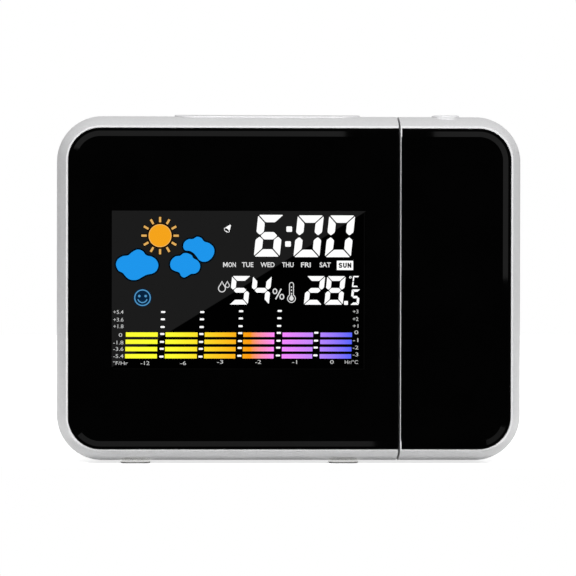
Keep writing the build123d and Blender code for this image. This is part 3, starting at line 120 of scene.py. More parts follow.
yaw, pitch, roll = np.radians(CAMERA_TURN)
turn_z = np.array([[np.cos(yaw), -np.sin(yaw), 0], [np.sin(yaw), np.cos(yaw), 0], [0, 0, 1]])
turn_x = np.array([[1, 0, 0], [0, np.cos(pitch), -np.sin(pitch)], [0, np.sin(pitch), np.cos(pitch)]])
turn_y = np.array([[np.cos(roll), 0, np.sin(roll)], [0, 1, 0], [-np.sin(roll), 0, np.cos(roll)]])
right, ahead, up = turn_y @ turn_x @ turn_z
placed = np.eye(4)
placed[:3, 0], placed[:3, 1], placed[:3, 2] = right, up, -ahead
placed[:3, 3] = np.array(CAMERA_PLACE) * MM
lens = bpy.data.cameras.new("camera")
lens.lens = CAMERA_LENS
lens.sensor_width = 36.0
camera = bpy.data.objects.new("camera", lens)
camera.matrix_world = Matrix(placed.tolist())
scene.collection.objects.link(camera)
scene.camera = camera


def seen_white(tree):
    """Outputs that are 1 for camera and glass rays, and for reflections, else 0."""
    path = add(tree, "ShaderNodeLightPath").outputs
    straight = {0: path["Is Camera Ray"], 1: path["Is Transmission Ray"]}
    direct = add(tree, "ShaderNodeMath", straight, operation="MAXIMUM")
    return direct.outputs[0], path["Is Glossy Ray"]


world = bpy.data.worlds.new("light_tent")
world.use_nodes = True
scene.world = world
tree = world.node_tree
direct, mirrored = seen_white(tree)
axes = add(tree, "ShaderNodeSeparateXYZ", {"Vector": add(tree, "ShaderNodeTexCoord").outputs["Generated"]})
cloth = {"Value": axes.outputs["Y"], "From Min": OPENING[0], "From Max": OPENING[1]}
cloth = add(tree, "ShaderNodeMapRange", cloth, interpolation_type="SMOOTHSTEP")
level = add(tree, "ShaderNodeMapRange", {"Value": mirrored, "To Min": SURROUND, "To Max": MIRRORED})
both = {0: cloth.outputs["Result"], 1: level.outputs["Result"]}
glow = add(tree, "ShaderNodeMath", both, operation="MULTIPLY")
strength = add(tree, "ShaderNodeMath", {0: glow.outputs[0], 1: direct}, operation="MAXIMUM")
background = tree.nodes["Background"]
background.inputs["Color"].default_value = linear("FFFFFF")
tree.links.new(strength.outputs[0], background.inputs["Strength"])


def softbox(name, place, size, power, aim=None, gloss=True):
    """Rectangular lamp in metres, square to the line from its place to its aim, or facing straight back.

    A lamp without gloss lights the clock but isn't mirrored in it.
    """
    lamp = bpy.data.lights.new(name, "AREA")
    lamp.shape = "RECTANGLE"
    lamp.size, lamp.size_y = size
    lamp.energy = power
    holder = bpy.data.objects.new(name, lamp)
    holder.location = place
    holder.visible_glossy = gloss
    way = Vector(aim) - Vector(place) if aim else Vector((0, 1, 0))
    holder.rotation_euler = way.to_track_quat("-Z", "Y").to_euler()
    scene.collection.objects.link(holder)


CLOCK = (0.0, 0.0, MID_HEIGHT * MM)
softbox("top_front_softbox", (0.0, -0.8, 0.66), (0.9, 0.15), 12.0, CLOCK)
softbox("low_front_softbox", (0.0, -0.65, -0.52), (0.7, 0.2), 4.4, CLOCK)
softbox("right_softbox", (1.0, -0.1, 0.3), (0.6, 0.6), 1.0, CLOCK)
softbox("rear_right_softbox", (0.75, 0.8, 0.45), (0.6, 0.5), 3.9, CLOCK, gloss=False)
softbox("rear_left_softbox", (-0.75, 0.8, 0.45), (0.6, 0.5), 3.4, CLOCK, gloss=False)
softbox("upper_rim_card", (-0.155, -0.9, 0.3425), (0.43, 0.215), 0.0965)
softbox("arm_upper_rim_card", (0.275, -0.9, 0.355), (0.31, 0.19), 0.0615)
softbox("arm_side_rim_card", (0.385, -0.9, 0.1575), (0.13, 0.205), 0.028)
softbox("lower_rim_card", (-0.12, -0.9, -0.275), (0.4, 0.17), 0.062)
softbox("arm_lower_corner_card", (0.33, -0.9, -0.215), (0.2, 0.19), 0.026)

floor_paint, tree, shader = material("white_floor_paint", Roughness=0.9, Specular_IOR_Level=0.0)
shader.inputs["Base Color"].default_value = linear("E8E8E8")
shader.inputs["Emission Color"].default_value = linear("FFFFFF")
direct, mirrored = seen_white(tree)
seen = add(tree, "ShaderNodeMath", {0: direct, 1: mirrored}, operation="MAXIMUM")
# Painted light on the floor: its glow, seen by the camera and in reflections, is 0.7 near the clock, so the
# shadow shows. It rises to full white from 0.6 m, standing in for lamplight that falls off with distance.
ground = add(tree, "ShaderNodeTexCoord").outputs["Object"]
reach = add(tree, "ShaderNodeVectorMath", {0: ground}, operation="LENGTH").outputs["Value"]
painted_floor_glow = {"Value": reach, "From Min": SHADOW_REACH[0], "From Max": SHADOW_REACH[1]}
painted_floor_glow |= {"To Min": FLOOR_GLOW[0], "To Max": FLOOR_GLOW[1]}
painted_floor_glow = add(tree, "ShaderNodeMapRange", painted_floor_glow, interpolation_type="SMOOTHSTEP")
lift = add(tree, "ShaderNodeMath", {0: seen.outputs[0], 1: painted_floor_glow.outputs["Result"]}, operation="MULTIPLY")
tree.links.new(lift.outputs[0], shader.inputs["Emission Strength"])
far, near = FLOOR_BACK / MM, FLOOR_FRONT / MM
corners = [(-far, near, 0), (far, near, 0), (far, far, 0), (-far, far, 0)]
mesh_piece("floor", corners, [(0, 1, 2, 3)], floor_paint)

# ---------------------------------------------------------------- casing, keys and feet
# ABS shells sprayed with satin silver lacquer: aluminium flakes under a clear film, with a faint orange peel.
# The keys and the snooze bar have a finer one, painted lighter against the shade of the seams round them. The
# feet are clear silicone, slightly matt.
FLAKE = 0.25
PEEL_DEPTH = 0.03
FLAKE_SHARE = 0.15
EDGE_SOFTNESS = 0.3


def lacquer(name, light, dark, roughness, metal, relief):
    """Silver lacquer: each flake has its own tone, gloss and tilt, over a long soft orange peel."""
    finish, tree, shader = material(name, Metallic=metal, Specular_IOR_Level=0.2)
    place = add(tree, "ShaderNodeTexCoord")
    flakes = add(tree, "ShaderNodeTexVoronoi", {"Vector": place.outputs["Object"], "Scale": 1 / (FLAKE * MM)})
    each = add(tree, "ShaderNodeSeparateColor", {"Color": flakes.outputs["Color"]})
    tones = {"Factor": each.outputs["Red"], "A": linear(dark), "B": linear(light)}
    tone = add(tree, "ShaderNodeMix", tones, data_type="RGBA")
    tree.links.new(tone.outputs["Result"], shader.inputs["Base Color"])
    spread = {"Value": each.outputs["Green"], "To Min": roughness - 0.04, "To Max": roughness + 0.04}
    tree.links.new(add(tree, "ShaderNodeMapRange", spread).outputs["Result"], shader.inputs["Roughness"])
    peel = add(tree, "ShaderNodeTexNoise", {"Vector": place.outputs["Object"], "Scale": 700.0, "Detail": 2.0})
    relief_of_both = {0: each.outputs["Blue"], 1: FLAKE_SHARE, 2: peel.outputs["Fac"]}
    height = add(tree, "ShaderNodeMath", relief_of_both, operation="MULTIPLY_ADD")
    soft_edge = add(tree, "ShaderNodeBevel", {"Radius": EDGE_SOFTNESS * MM}, samples=6)
    bump = {"Height": height.outputs[0], "Strength": relief, "Distance": PEEL_DEPTH * MM}
    bump["Normal"] = soft_edge.outputs[0]
    tree.links.new(add(tree, "ShaderNodeBump", bump).outputs["Normal"], shader.inputs["Normal"])
    return finish


KEYS = ("mode_key", "up_key", "down_key", "alarm_key", "memory_key", "unit_key")
case_lacquer = lacquer("silver_lacquered_ABS", "D6D6D7", "CACACB", 0.38, 0.1, 0.35)
# A lighter copy of the case lacquer: painted lighter so the keys don't read dark beside the shade in their
# seams.
lighter_painted_key_lacquer = lacquer("fine_silver_lacquer_painted_lighter", "DADADB", "D0D0D1", 0.34, 0.1, 0.2)
wear(case_lacquer, "front_case", "rear_case", "arm_front_case", "arm_rear_case", "battery_door")
wear(lighter_painted_key_lacquer, "snooze_bar", "projection_key", *KEYS)


def moulded(name, light, dark, roughness, scale, metal=0.0, **more):
    """Plain moulded, plated or printed stuff: two near tones and a gloss that drift with a soft noise."""
    finish, tree, shader = material(name, Metallic=metal, **more)
    place = add(tree, "ShaderNodeTexCoord")
    noise = {"Vector": place.outputs["Object"], "Scale": scale, "Detail": 3.0}
    drift = add(tree, "ShaderNodeTexNoise", noise)
    tones = {"Factor": drift.outputs["Fac"], "A": linear(dark), "B": linear(light)}
    tone = add(tree, "ShaderNodeMix", tones, data_type="RGBA")
    tree.links.new(tone.outputs["Result"], shader.inputs["Base Color"])
    spread = {"Value": drift.outputs["Fac"], "To Min": roughness * 0.8, "To Max": roughness * 1.2}
    tree.links.new(add(tree, "ShaderNodeMapRange", spread).outputs["Result"], shader.inputs["Roughness"])
    return finish


silicone, tree, shader = material("clear_silicone_rubber", Roughness=0.2, IOR=1.41, Transmission_Weight=1.0)
shader.inputs["Base Color"].default_value = linear("F6F6F4")
wear(silicone, "rubber_feet")

# ---------------------------------------------------------------- front panels
# Cast acrylic, printed black behind. Its rim is polished in two slopes: a gentle one that catches the cards
# and a steeper one outside it that stays dark. A clear block fills the display window, flush with the black.
WINDOW = (-58.55, 24.83, -26.72, 25.64)
PANEL_FRONT = -17.3
PANEL_BACK = -15.5
PANEL_HALF = (72.9, 52.85)
PANEL_R = 10.6
RIM = ((0.0, 1.8), (0.0, 0.42), (0.95, 0.21), (2.7, 0.0))
CLOCK_SEAM = 35.8
ARM_SEAM = 36.58
CORNER_STEPS = 16


def rounded_box(half_wide, half_high, radius):
    """Anticlockwise rounded rectangle about the middle: a quarter circle of CORNER_STEPS chords a corner."""
    points = []
    for k, (sx, sz) in enumerate(((1, 1), (-1, 1), (-1, -1), (1, -1))):
        a = np.linspace(k, k + 1, CORNER_STEPS + 1) * np.pi / 2
        middle = (sx * (half_wide - radius), sz * (half_high - radius))
        points.append(np.stack([middle[0] + radius * np.cos(a), middle[1] + radius * np.sin(a)], 1))
    return np.concatenate(points)


def panel_rings(left, right):
    """The rim's rings from back to front: the outline drawn in by each inset, cut off at the seams."""
    rings = []
    for inset, drop in RIM:
        ring = rounded_box(PANEL_HALF[0] - inset, PANEL_HALF[1] - inset, PANEL_R - inset)
        ring[:, 0] = np.clip(ring[:, 0], left, right)
        depth = np.full(len(ring), PANEL_FRONT + drop)
        rings.append(np.stack([ring[:, 0], depth, MID_HEIGHT + ring[:, 1]], 1))
    return rings


def panel(name, left, right, body, finish, hole=None):
    """Bevelled panel between two stations; hole gives the four limits of an opening for the window."""
    rings = panel_rings(left, right)
    count = len(rings[0])
    points = np.concatenate(rings)
    each = np.arange(count)
    beside = (each + 1) % count
    faces = []
    for k in range(len(rings) - 1):
        outer, inner = k * count, (k + 1) * count
        faces += np.stack([outer + each, outer + beside, inner + beside, inner + each], 1).tolist()
    front = (len(rings) - 1) * count
    if hole is None:
        faces += [list(range(front, front + count)), list(range(count - 1, -1, -1))]
    else:
        low, high = MID_HEIGHT + hole[2], MID_HEIGHT + hole[3]
        corners = [(hole[1], high), (hole[0], high), (hole[0], low), (hole[1], low)]
        start = len(points)
        edges = [[(x, y, z) for x, z in corners] for y in (PANEL_FRONT, PANEL_BACK)]
        points = np.concatenate([points, *edges])
        part = CORNER_STEPS + 1
        for k in range(4):
            arc = list(range(k * part, (k + 1) * part))
            following = (k + 1) * part % count
            here, there = start + k, start + (k + 1) % 4
            faces += [[front + i, front + i + 1, here] for i in arc[:-1]]
            faces += [[front + arc[-1], front + following, there, here]]
            faces += [[i + 1, i, here + 4] for i in arc[:-1]]
            faces += [[following, arc[-1], here + 4, there + 4]]
            faces += [[here, there, there + 4, here + 4]]
    piece = mesh_piece(name, points, faces, finish)
    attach(piece, body)
    return piece


black_acrylic = moulded("black_printed_acrylic", "030303", "010101", 0.03, 60.0, IOR=1.49)
wear(black_acrylic, "front_panel", "arm_panel")
clear_acrylic = material("clear_acrylic_window", Roughness=0.02, IOR=1.49, Transmission_Weight=1.0)[0]
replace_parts(panel("clock_panel", -200, CLOCK_SEAM, "clock", black_acrylic, WINDOW), "front_panel")
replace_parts(panel("projector_arm_panel", ARM_SEAM, 200, "projector_arm", black_acrylic), "arm_panel")
GLAZING_FIT = 0.005
left, low = WINDOW[0] + GLAZING_FIT, WINDOW[2] + GLAZING_FIT
right, high = WINDOW[1] - GLAZING_FIT, WINDOW[3] - GLAZING_FIT
outline = [(left, low), (right, low), (right, high), (left, high)]
block = [(x, y, MID_HEIGHT + z) for y in (PANEL_FRONT, PANEL_BACK) for x, z in outline]
block_faces = [(0, 1, 2, 3), (7, 6, 5, 4), (0, 4, 5, 1), (1, 5, 6, 2), (2, 6, 7, 3), (3, 7, 4, 0)]
glazing = mesh_piece("display_window", block, block_faces, clear_acrylic)
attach(glazing, "clock")

# ---------------------------------------------------------------- display
# Negative liquid-crystal display bonded behind the window: a dark polariser, and on it the figures, lit
# through colour filters. Above a slanting line the polariser gives off a painted glare, a painted reflection.
# The layers lie LAYER apart, numbered from it.
LAYER = 0.06
FILM_DEPTH = PANEL_BACK - 2 * LAYER
# Where the painted glare on the polariser ends: the slope and height of its slanting edge, and how soft that
# edge is.
PAINTED_GLARE_EDGE = (0.615, 10.2)
PAINTED_GLARE_SOFTNESS = 0.2
SLANT = np.tan(np.radians(6.0))


def on_display(layer):
    """Places (across, height from mid-height) pairs on a layer of the display."""
    return lambda flat: [(x, FILM_DEPTH - LAYER * layer, MID_HEIGHT + z) for x, z in flat]


def flat_piece(name, outlines, place, finish, body="clock"):
    """Flat figure from anticlockwise outlines, put in place by the function that turns them into points."""
    points, faces = [], []
    for outline in outlines:
        faces.append(range(len(points), len(points) + len(outline)))
        points += place(outline)
    piece = mesh_piece(name, points, faces, finish)
    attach(piece, body)
    return piece


def rectangle(left, low, right, high):
    """Corners of an upright rectangle, anticlockwise."""
    return [(left, low), (right, low), (right, high), (left, high)]


def disc(x, z, radius, count=48):
    """Points of a circle, anticlockwise."""
    a = np.linspace(0, 2 * np.pi, count, endpoint=False)
    return np.stack([x + radius * np.cos(a), z + radius * np.sin(a)], 1)


def rounded(corners, radius, steps=4):
    """Polygon whose corners are blunted by quadratic curves that start radius before each corner."""
    p = np.asarray(corners, float)
    before = np.roll(p, 1, 0) - p
    after = np.roll(p, -1, 0) - p
    start = p + before * np.minimum(radius / np.linalg.norm(before, axis=1), 0.45)[:, None]
    end = p + after * np.minimum(radius / np.linalg.norm(after, axis=1), 0.45)[:, None]
    t = np.linspace(0, 1, steps + 1)[None, :, None]
    return ((1 - t) ** 2 * start[:, None] + 2 * t * (1 - t) * p[:, None] + t**2 * end[:, None]).reshape(-1, 2)


def closed_curve(points, steps=6):
    """Smooth closed outline through the points: Catmull-Rom, p1 + (p2 - p0)t/2 + ... on each stretch."""
    p1 = np.asarray(points, float)
    p0, p2, p3 = np.roll(p1, 1, 0), np.roll(p1, -1, 0), np.roll(p1, -2, 0)
    t = np.linspace(0, 1, steps, endpoint=False)[None, :, None]
    p0, p1, p2, p3 = (p[:, None] for p in (p0, p1, p2, p3))
    curve = p1 + 0.5 * t * (p2 - p0 + t * (2 * p0 - 5 * p1 + 4 * p2 - p3 + t * (3 * p1 - 3 * p2 + p3 - p0)))
    return curve.reshape(-1, 2)


def grown(outline, by):
    """Anticlockwise outline moved outwards along its own normals."""
    p = np.asarray(outline, float)
    ahead = np.roll(p, -1, 0) - np.roll(p, 1, 0)
    return p + np.stack([ahead[:, 1], -ahead[:, 0]], 1) / np.linalg.norm(ahead, axis=1)[:, None] * by


def stroke(path, width, closed=False):
    """Quads along a polyline of the given width, their sides square to its local direction."""
    p = np.asarray(path, float)
    ahead = (np.roll(p, -1, 0) - np.roll(p, 1, 0)) if closed else np.gradient(p, axis=0)
    side = np.stack([-ahead[:, 1], ahead[:, 0]], 1) / np.linalg.norm(ahead, axis=1)[:, None] * width / 2
    left, right = p + side, p - side
    last = len(p) if closed else len(p) - 1
    return [[right[i], right[(i + 1) % len(p)], left[(i + 1) % len(p)], left[i]] for i in range(last)]


def lit(name, code, strength=1.16):
    """Colour filter lit from behind: a black surface that gives off one colour."""
    finish, _, shader = material(name, Roughness=1.0, Base_Color=linear("000000"), Specular_IOR_Level=0.0)
    shader.inputs["Emission Color"].default_value = linear(code)
    shader.inputs["Emission Strength"].default_value = strength
    return finish


# Painted reflection: the polariser gives off a lighter painted glare (1C1C1C) above a slanting line and is
# near black (010101) below it.
polariser_with_painted_glare = lit("polariser_painted_glare", "1C1C1C")
tree = polariser_with_painted_glare.node_tree
shader = tree.nodes["Principled BSDF"]
axes = add(tree, "ShaderNodeSeparateXYZ", {"Vector": add(tree, "ShaderNodeTexCoord").outputs["Object"]})
slope = {0: axes.outputs["X"], 1: -PAINTED_GLARE_EDGE[0], 2: axes.outputs["Z"]}
line = add(tree, "ShaderNodeMath", slope, operation="MULTIPLY_ADD")
edge = (MID_HEIGHT + PAINTED_GLARE_EDGE[1]) * MM
fade = PAINTED_GLARE_SOFTNESS * MM
across = {"Value": line.outputs[0], "From Min": edge - fade, "From Max": edge + fade}
painted_glare_mask = add(tree, "ShaderNodeMapRange", across)
tones = {"Factor": painted_glare_mask.outputs["Result"], "A": linear("010101"), "B": linear("1C1C1C")}
tone = add(tree, "ShaderNodeMix", tones, data_type="RGBA")
tree.links.new(tone.outputs["Result"], shader.inputs["Emission Color"])
white_lit = lit("white_lit_segment", "FFFFFF", 1.2)
legend_lit = lit("white_lit_legend", "E6E6E6", 1.1)
unlit = lit("unlit_mask", "020202")
flat_piece("polariser_with_painted_glare", [rectangle(WINDOW[0], WINDOW[2], WINDOW[1], WINDOW[3])], on_display(0), polariser_with_painted_glare)
# Painted highlight: thin strips that give off faint light along the right and bottom edges of the display
# glass.
painted_edge_highlight = [rectangle(WINDOW[1] - 0.45, WINDOW[2] + 0.4, WINDOW[1] - 0.2, WINDOW[3] - 0.4)]
painted_edge_highlight += [rectangle(WINDOW[0] + 0.4, WINDOW[2] + 0.2, WINDOW[1] - 0.2, WINDOW[2] + 0.4)]
flat_piece("display_glass_edge_painted_highlight", painted_edge_highlight, on_display(0.5), lit("painted_highlight_on_glass_edge", "0B0B0B"))

SEGMENTS = {"0": "abcdef", "2": "abged", "4": "fgbc", "5": "afgcd", "6": "afgedc", "8": "abcdefg"}
SEGMENTS["C"] = "afed"


def figure(digit, left, low, wide, high, thick, gap):
    """Seven-segment figure: mitred bars of the given thickness round a box, leaning to the right by SLANT."""
    half, point = high / 2, thick * 0.42
    inner = wide - thick - gap
    upper, lower = half + gap, half - gap
    bars = {
        "a": [(thick + gap, high - thick), (inner, high - thick), (wide - gap, high), (gap, high)],
        "d": [(gap, 0), (wide - gap, 0), (inner, thick), (thick + gap, thick)],
        "f": [(0, upper + point), (thick / 2, upper), (thick, upper + point)],
        "e": [(0, gap), (thick, thick + gap), (thick, lower - point), (thick / 2, lower), (0, lower - point)],
        "g": [(thick / 2 + gap, half), (thick + gap, half - thick / 2), (inner, half - thick / 2)],
    }
    bars["f"] += [(thick, high - thick - gap), (0, high - gap)]
    bars["g"] += [(wide - x, 2 * half - z) for x, z in bars["g"]]
    bars["b"] = [(wide - x, z) for x, z in reversed(bars["f"])]
    bars["c"] = [(wide - x, z) for x, z in reversed(bars["e"])]
    drawn = [rounded(bars[key], thick * 0.16) for key in SEGMENTS[digit]]
    return [np.stack([left + bar[:, 0] + SLANT * bar[:, 1], low + bar[:, 1]], 1) for bar in drawn]


TIME = {"low": 10.62, "high": 13.75, "thick": 2.44, "gap": 0.27}
ZERO = {**TIME, "low": 10.48}
hours_and_minutes = figure("6", -11.9, wide=8.5, **TIME)
hours_and_minutes += figure("0", 1.15, wide=8.55, **ZERO) + figure("0", 11.5, wide=8.55, **ZERO)
for dot in ((-1.18, 18.78, 0.7, 20.58), (-1.58, 13.9, 0.32, 15.68)):
    hours_and_minutes.append(rounded(rectangle(*dot), 0.35))
flat_piece("time_figures", hours_and_minutes, on_display(1), white_lit)

CLIMATE = {"low": -5.18, "high": 9.4, "thick": 1.58, "gap": 0.2}
readings = figure("5", -20.0, wide=6.15, **CLIMATE) + figure("4", -13.1, wide=6.15, **CLIMATE)
readings += figure("2", 4.6, wide=6.05, **CLIMATE) + figure("8", 11.35, wide=6.05, **CLIMATE)
readings += figure("5", 19.9, -5.23, 2.8, 5.1, 0.8, 0.08) + figure("C", 20.45, 0.63, 2.1, 3.67, 0.45, 0.04)
readings += [rounded(rectangle(17.85, -5.24, 19.15, -3.95), 0.2)]
readings += stroke(disc(19.95, 3.85, 0.3, 16), 0.2, closed=True)
flat_piece("humidity_and_temperature_figures", readings, on_display(1), white_lit)


def lettering(words, weight=0.0):
    """Outlines of words in the built-in font, each word fitted to its own (left, low, right, high) box."""
    drawn = []
    for word, left, low, right, high in words:
        font = bpy.data.curves.new("word", "FONT")
        font.body = word
        font.offset = weight
        font.resolution_u = 3
        holder = bpy.data.objects.new("word", font)
        mesh = bpy.data.meshes.new_from_object(holder)
        flat = np.empty(len(mesh.vertices) * 3)
        mesh.vertices.foreach_get("co", flat)
        flat = flat.reshape(-1, 3)[:, :2]
        fitted = (flat - flat.min(0)) / np.ptp(flat, axis=0) * (right - left, high - low) + (left, low)
        drawn += [fitted[list(face.vertices)] for face in mesh.polygons]
        bpy.data.objects.remove(holder)
        bpy.data.curves.remove(font)
        bpy.data.meshes.remove(mesh)
    return drawn


DAYS = (("ON", -20.3, -17.8), ("TUE", -15.82, -12.03), ("WED", -9.69, -5.04))
DAYS += (("THU", -2.6, 1.22), ("FRI", 3.66, 6.85), ("SAT", 9.79, 13.51))
weekdays = lettering([(day, left, 7.13, right, 8.75) for day, left, right in DAYS], 0.02)
LETTER_M = (((-0.6, 0), (-0.6, 1.62)), ((-0.55, 1.55), (0, 0.35)), ((0, 0.35), (0.55, 1.55)))
LETTER_M += (((0.6, 1.62), (0.6, 0)),)
for path in LETTER_M:
    weekdays += stroke(np.array(path) + (-21.25, 7.13), 0.31)
flat_piece("weekday_names", weekdays, on_display(1), legend_lit)
flat_piece("weekday_box", [rectangle(15.46, 6.23, 20.86, 9.3)], on_display(1), white_lit)
LETTER_S = [(1.02, 1.22), (0.82, 1.45), (0.35, 1.45), (0.15, 1.2), (0.3, 0.94), (0.85, 0.72)]
LETTER_S += [(1.02, 0.45), (0.82, 0.2), (0.35, 0.2), (0.1, 0.44)]
LETTER_U = [(1.62, 1.66), (1.62, 0.62), (1.74, 0.3), (2.02, 0.18), (2.3, 0.3), (2.42, 0.62), (2.42, 1.66)]
LETTER_N = (((3.1, 0), (3.1, 1.66)), ((3.1, 1.5), (3.95, 0.16)), ((3.95, 0), (3.95, 1.66)))
sunday = []
for path in (LETTER_S, LETTER_U, *LETTER_N):
    sunday += stroke(path, 0.42)
sunday = [np.asarray(quad) + (16.1, 6.96) for quad in sunday]
flat_piece("weekday_in_box", sunday, on_display(2), unlit)

LABEL_HIGH = 1.25
LEFT_SCALE = (("+5.4", -7.7), ("+3.6", -10.2), ("+1.8", -12.4), ("0", -15.25))
LEFT_SCALE += (("-1.8", -17.75), ("-3.6", -19.85), ("-5.4", -22.2))
RIGHT_SCALE = (("+3", -7.45), ("+2", -9.9), ("+1", -12.2), ("0", -14.3))
RIGHT_SCALE += (("-1", -16.85), ("-2", -19.3), ("-3", -21.6))
HOUR_SCALE = (("°F/Hr", -58.2, -53.3), ("-12", -49.1, -46.2), ("-6", -36.1, -34.15), ("-3", -23.95, -21.95))
HOUR_SCALE += (("-2", -11.4, -9.45), ("-1", 0.8, 2.4), ("0", 13.3, 14.5), ("Hr/°C", 18.15, 22.5))
labels = []
for word, z in LEFT_SCALE:
    left, right = (-56.3, -55.15) if word == "0" else (-58.1, -54.75)
    labels.append((word, left, z - LABEL_HIGH / 2, right, z + LABEL_HIGH / 2))
for word, z in RIGHT_SCALE:
    left = 21.3 if word == "0" else 20.75
    labels.append((word, left, z - LABEL_HIGH / 2, 22.6, z + LABEL_HIGH / 2))
for word, left, right in HOUR_SCALE:
    low, high = (-25.1, -23.85) if left < -30 else (-24.7, -23.45)
    labels.append((word, left, low, right, high))
dim_lit = lit("dim_lit_legend", "D2D2D2", 1.0)
flat_piece("pressure_scale_numbers", lettering(labels, 0.002), on_display(1), dim_lit)

ROWS = ((-15.84, -14.37), (-18.2, -16.74), (-20.6, -19.15), (-22.95, -21.5))
COLUMNS = ((-53.96, -43.47), (-40.91, -30.35), (-28.02, -17.68), (-15.31, -5.06), (-2.4, 7.68), (10.1, 20.52))
LEAN = 0.0375
STOPS = ((0.2, "FFFF33"), (0.55, "FF9911"), (0.66, "FF88FF"), (0.85, "BB88FF"), (1.0, "5566FF"))
graded = lit("graded_colour_filter", "FFFFFF")
tree = graded.node_tree
axes = add(tree, "ShaderNodeSeparateXYZ", {"Vector": add(tree, "ShaderNodeTexCoord").outputs["Object"]})
span = {"Value": axes.outputs["X"], "From Min": COLUMNS[0][0] * MM, "From Max": COLUMNS[-1][1] * MM}
ramp = add(tree, "ShaderNodeValToRGB", {"Fac": add(tree, "ShaderNodeMapRange", span).outputs["Result"]})
ramp.color_ramp.elements.remove(ramp.color_ramp.elements[1])
ramp.color_ramp.elements[0].position = STOPS[0][0]
ramp.color_ramp.elements[0].color = linear(STOPS[0][1])
for position, code in STOPS[1:]:
    ramp.color_ramp.elements.new(position).color = linear(code)
tree.links.new(ramp.outputs["Color"], tree.nodes["Principled BSDF"].inputs["Emission Color"])
bars = []
for low, high in ROWS:
    aside = LEAN * (low - ROWS[0][0])
    bars += [rectangle(left + aside, low, right + aside, high) for left, right in COLUMNS]
flat_piece("pressure_bars", bars, on_display(1), graded)

DASHES = ((-41.7, 0.0, 0), (-28.85, 0.0, 0), (-16.05, 0.3, 0), (-3.35, 0.4, 0), (9.0, 0.45, 3))
DASH_HEIGHTS = (-7.67, -10.06, -12.6, -14.9, -17.5, -19.78, -22.35)
DASH = (0.7, 0.32)
dashes = []
for x, up, first in DASHES:
    for z in DASH_HEIGHTS[first:]:
        here = x + LEAN * (z - DASH_HEIGHTS[0])
        dash = rectangle(here - DASH[0], z + up - DASH[1], here + DASH[0], z + up + DASH[1])
        dashes.append(rounded(dash, 0.25))
flat_piece("pressure_dashes", dashes, on_display(2), white_lit)

BIG_CLOUD = (
    (-56.54, 5.91), (-55.08, 5.07), (-53.84, 3.66), (-52.44, 2.82), (-50.42, 2.77), (-48.8, 3.56),
    (-47.11, 4.46), (-45.15, 4.91), (-43.75, 5.93), (-43.19, 7.78), (-43.92, 9.58), (-45.44, 10.64),
    (-47.23, 11.14), (-48.41, 12.49), (-50.21, 12.99), (-52.06, 12.09), (-53.29, 11.08), (-55.03, 10.79),
    (-56.71, 9.72), (-57.33, 7.87),
)
NEAR_CLOUD = (
    (-39.09, 6.49), (-37.97, 5.77), (-36.51, 5.21), (-35.89, 4.08), (-34.77, 3.58), (-33.64, 4.09),
    (-32.52, 4.76), (-31.12, 4.93), (-29.83, 5.95), (-29.44, 7.8), (-30.28, 9.32), (-31.69, 10.16),
    (-32.25, 11.11), (-33.65, 11.78), (-35.06, 11.78), (-36.18, 10.99), (-37.75, 10.71), (-39.1, 9.47),
    (-39.54, 7.9),
)
FAR_CLOUD = (
    (-34.5, 12.51), (-33.09, 12.35), (-31.86, 11.67), (-30.85, 10.55), (-29.83, 9.26), (-28.32, 8.76),
    (-26.74, 9.16), (-25.4, 10.45), (-24.78, 12.14), (-25.12, 13.82), (-26.53, 15.11), (-28.16, 15.67),
    (-29.11, 16.79), (-30.57, 17.24), (-31.98, 16.5), (-33.49, 16.39), (-34.89, 15.32), (-35.23, 13.63),
)
blue_lit = lit("blue_lit_filter", "1E96EC")
dark_edge = lit("dark_edge_of_filter", "020A14")
clouds = {"big": BIG_CLOUD, "near": NEAR_CLOUD, "far": FAR_CLOUD}
clouds = {name: grown(closed_curve(points), -0.12) for name, points in clouds.items()}
far_edges = [grown(clouds["big"], 0.5), grown(clouds["far"], 0.5)]
flat_piece("far_cloud_edges", far_edges, on_display(1), dark_edge)
flat_piece("far_cloud", [clouds["far"]], on_display(2), blue_lit)
flat_piece("near_cloud_edge", [grown(clouds["near"], 0.5)], on_display(3), dark_edge)
flat_piece("near_clouds", [clouds["near"], clouds["big"]], on_display(4), blue_lit)

SUN = (-42.75, 17.45)
RAY = (4.4, 6.15, 0.36)
turns = np.radians(np.arange(12) * 30.0)
ray_box = np.array([(RAY[0], -RAY[2]), (RAY[1], -RAY[2]), (RAY[1], RAY[2]), (RAY[0], RAY[2])])
rays = [ray_box @ np.array([[np.cos(t), np.sin(t)], [-np.sin(t), np.cos(t)]]) + SUN for t in turns]
brown_edge = lit("brown_edge_of_filter", "180C02")
flat_piece("sun_edge", [disc(*SUN, 4.2)] + [grown(ray, 0.28) for ray in rays], on_display(1), brown_edge)
flat_piece("sun_disc", [disc(*SUN, 3.78)], on_display(2), lit("orange_lit_filter", "F5A41C"))
sun_rim = stroke(disc(*SUN, 3.66), 0.22, closed=True)
flat_piece("sun_rim", sun_rim, on_display(3), lit("pale_lit_filter", "F5B860"))
flat_piece("sun_rays", rays, on_display(2), lit("amber_lit_filter", "E2AE5E"))

FACE = (-48.5, -2.98)
smile = np.radians(np.linspace(197, 343, 20))
mouth = np.stack([FACE[0] + 1.55 * np.cos(smile), FACE[1] - 0.05 + 1.55 * np.sin(smile)], 1)
face_lines = stroke(disc(*FACE, 2.55), 0.36, closed=True) + stroke(mouth, 0.36)
face_lines += [disc(FACE[0] + side * 1.04, FACE[1] + 0.55, 0.42, 16) for side in (-1, 1)]
flat_piece("comfort_face_disc", [disc(*FACE, 3.0)], on_display(1), lit("deep_blue_lit_filter", "08233E"))
flat_piece("comfort_face", face_lines, on_display(2), lit("pale_blue_lit_filter", "5298C8"))


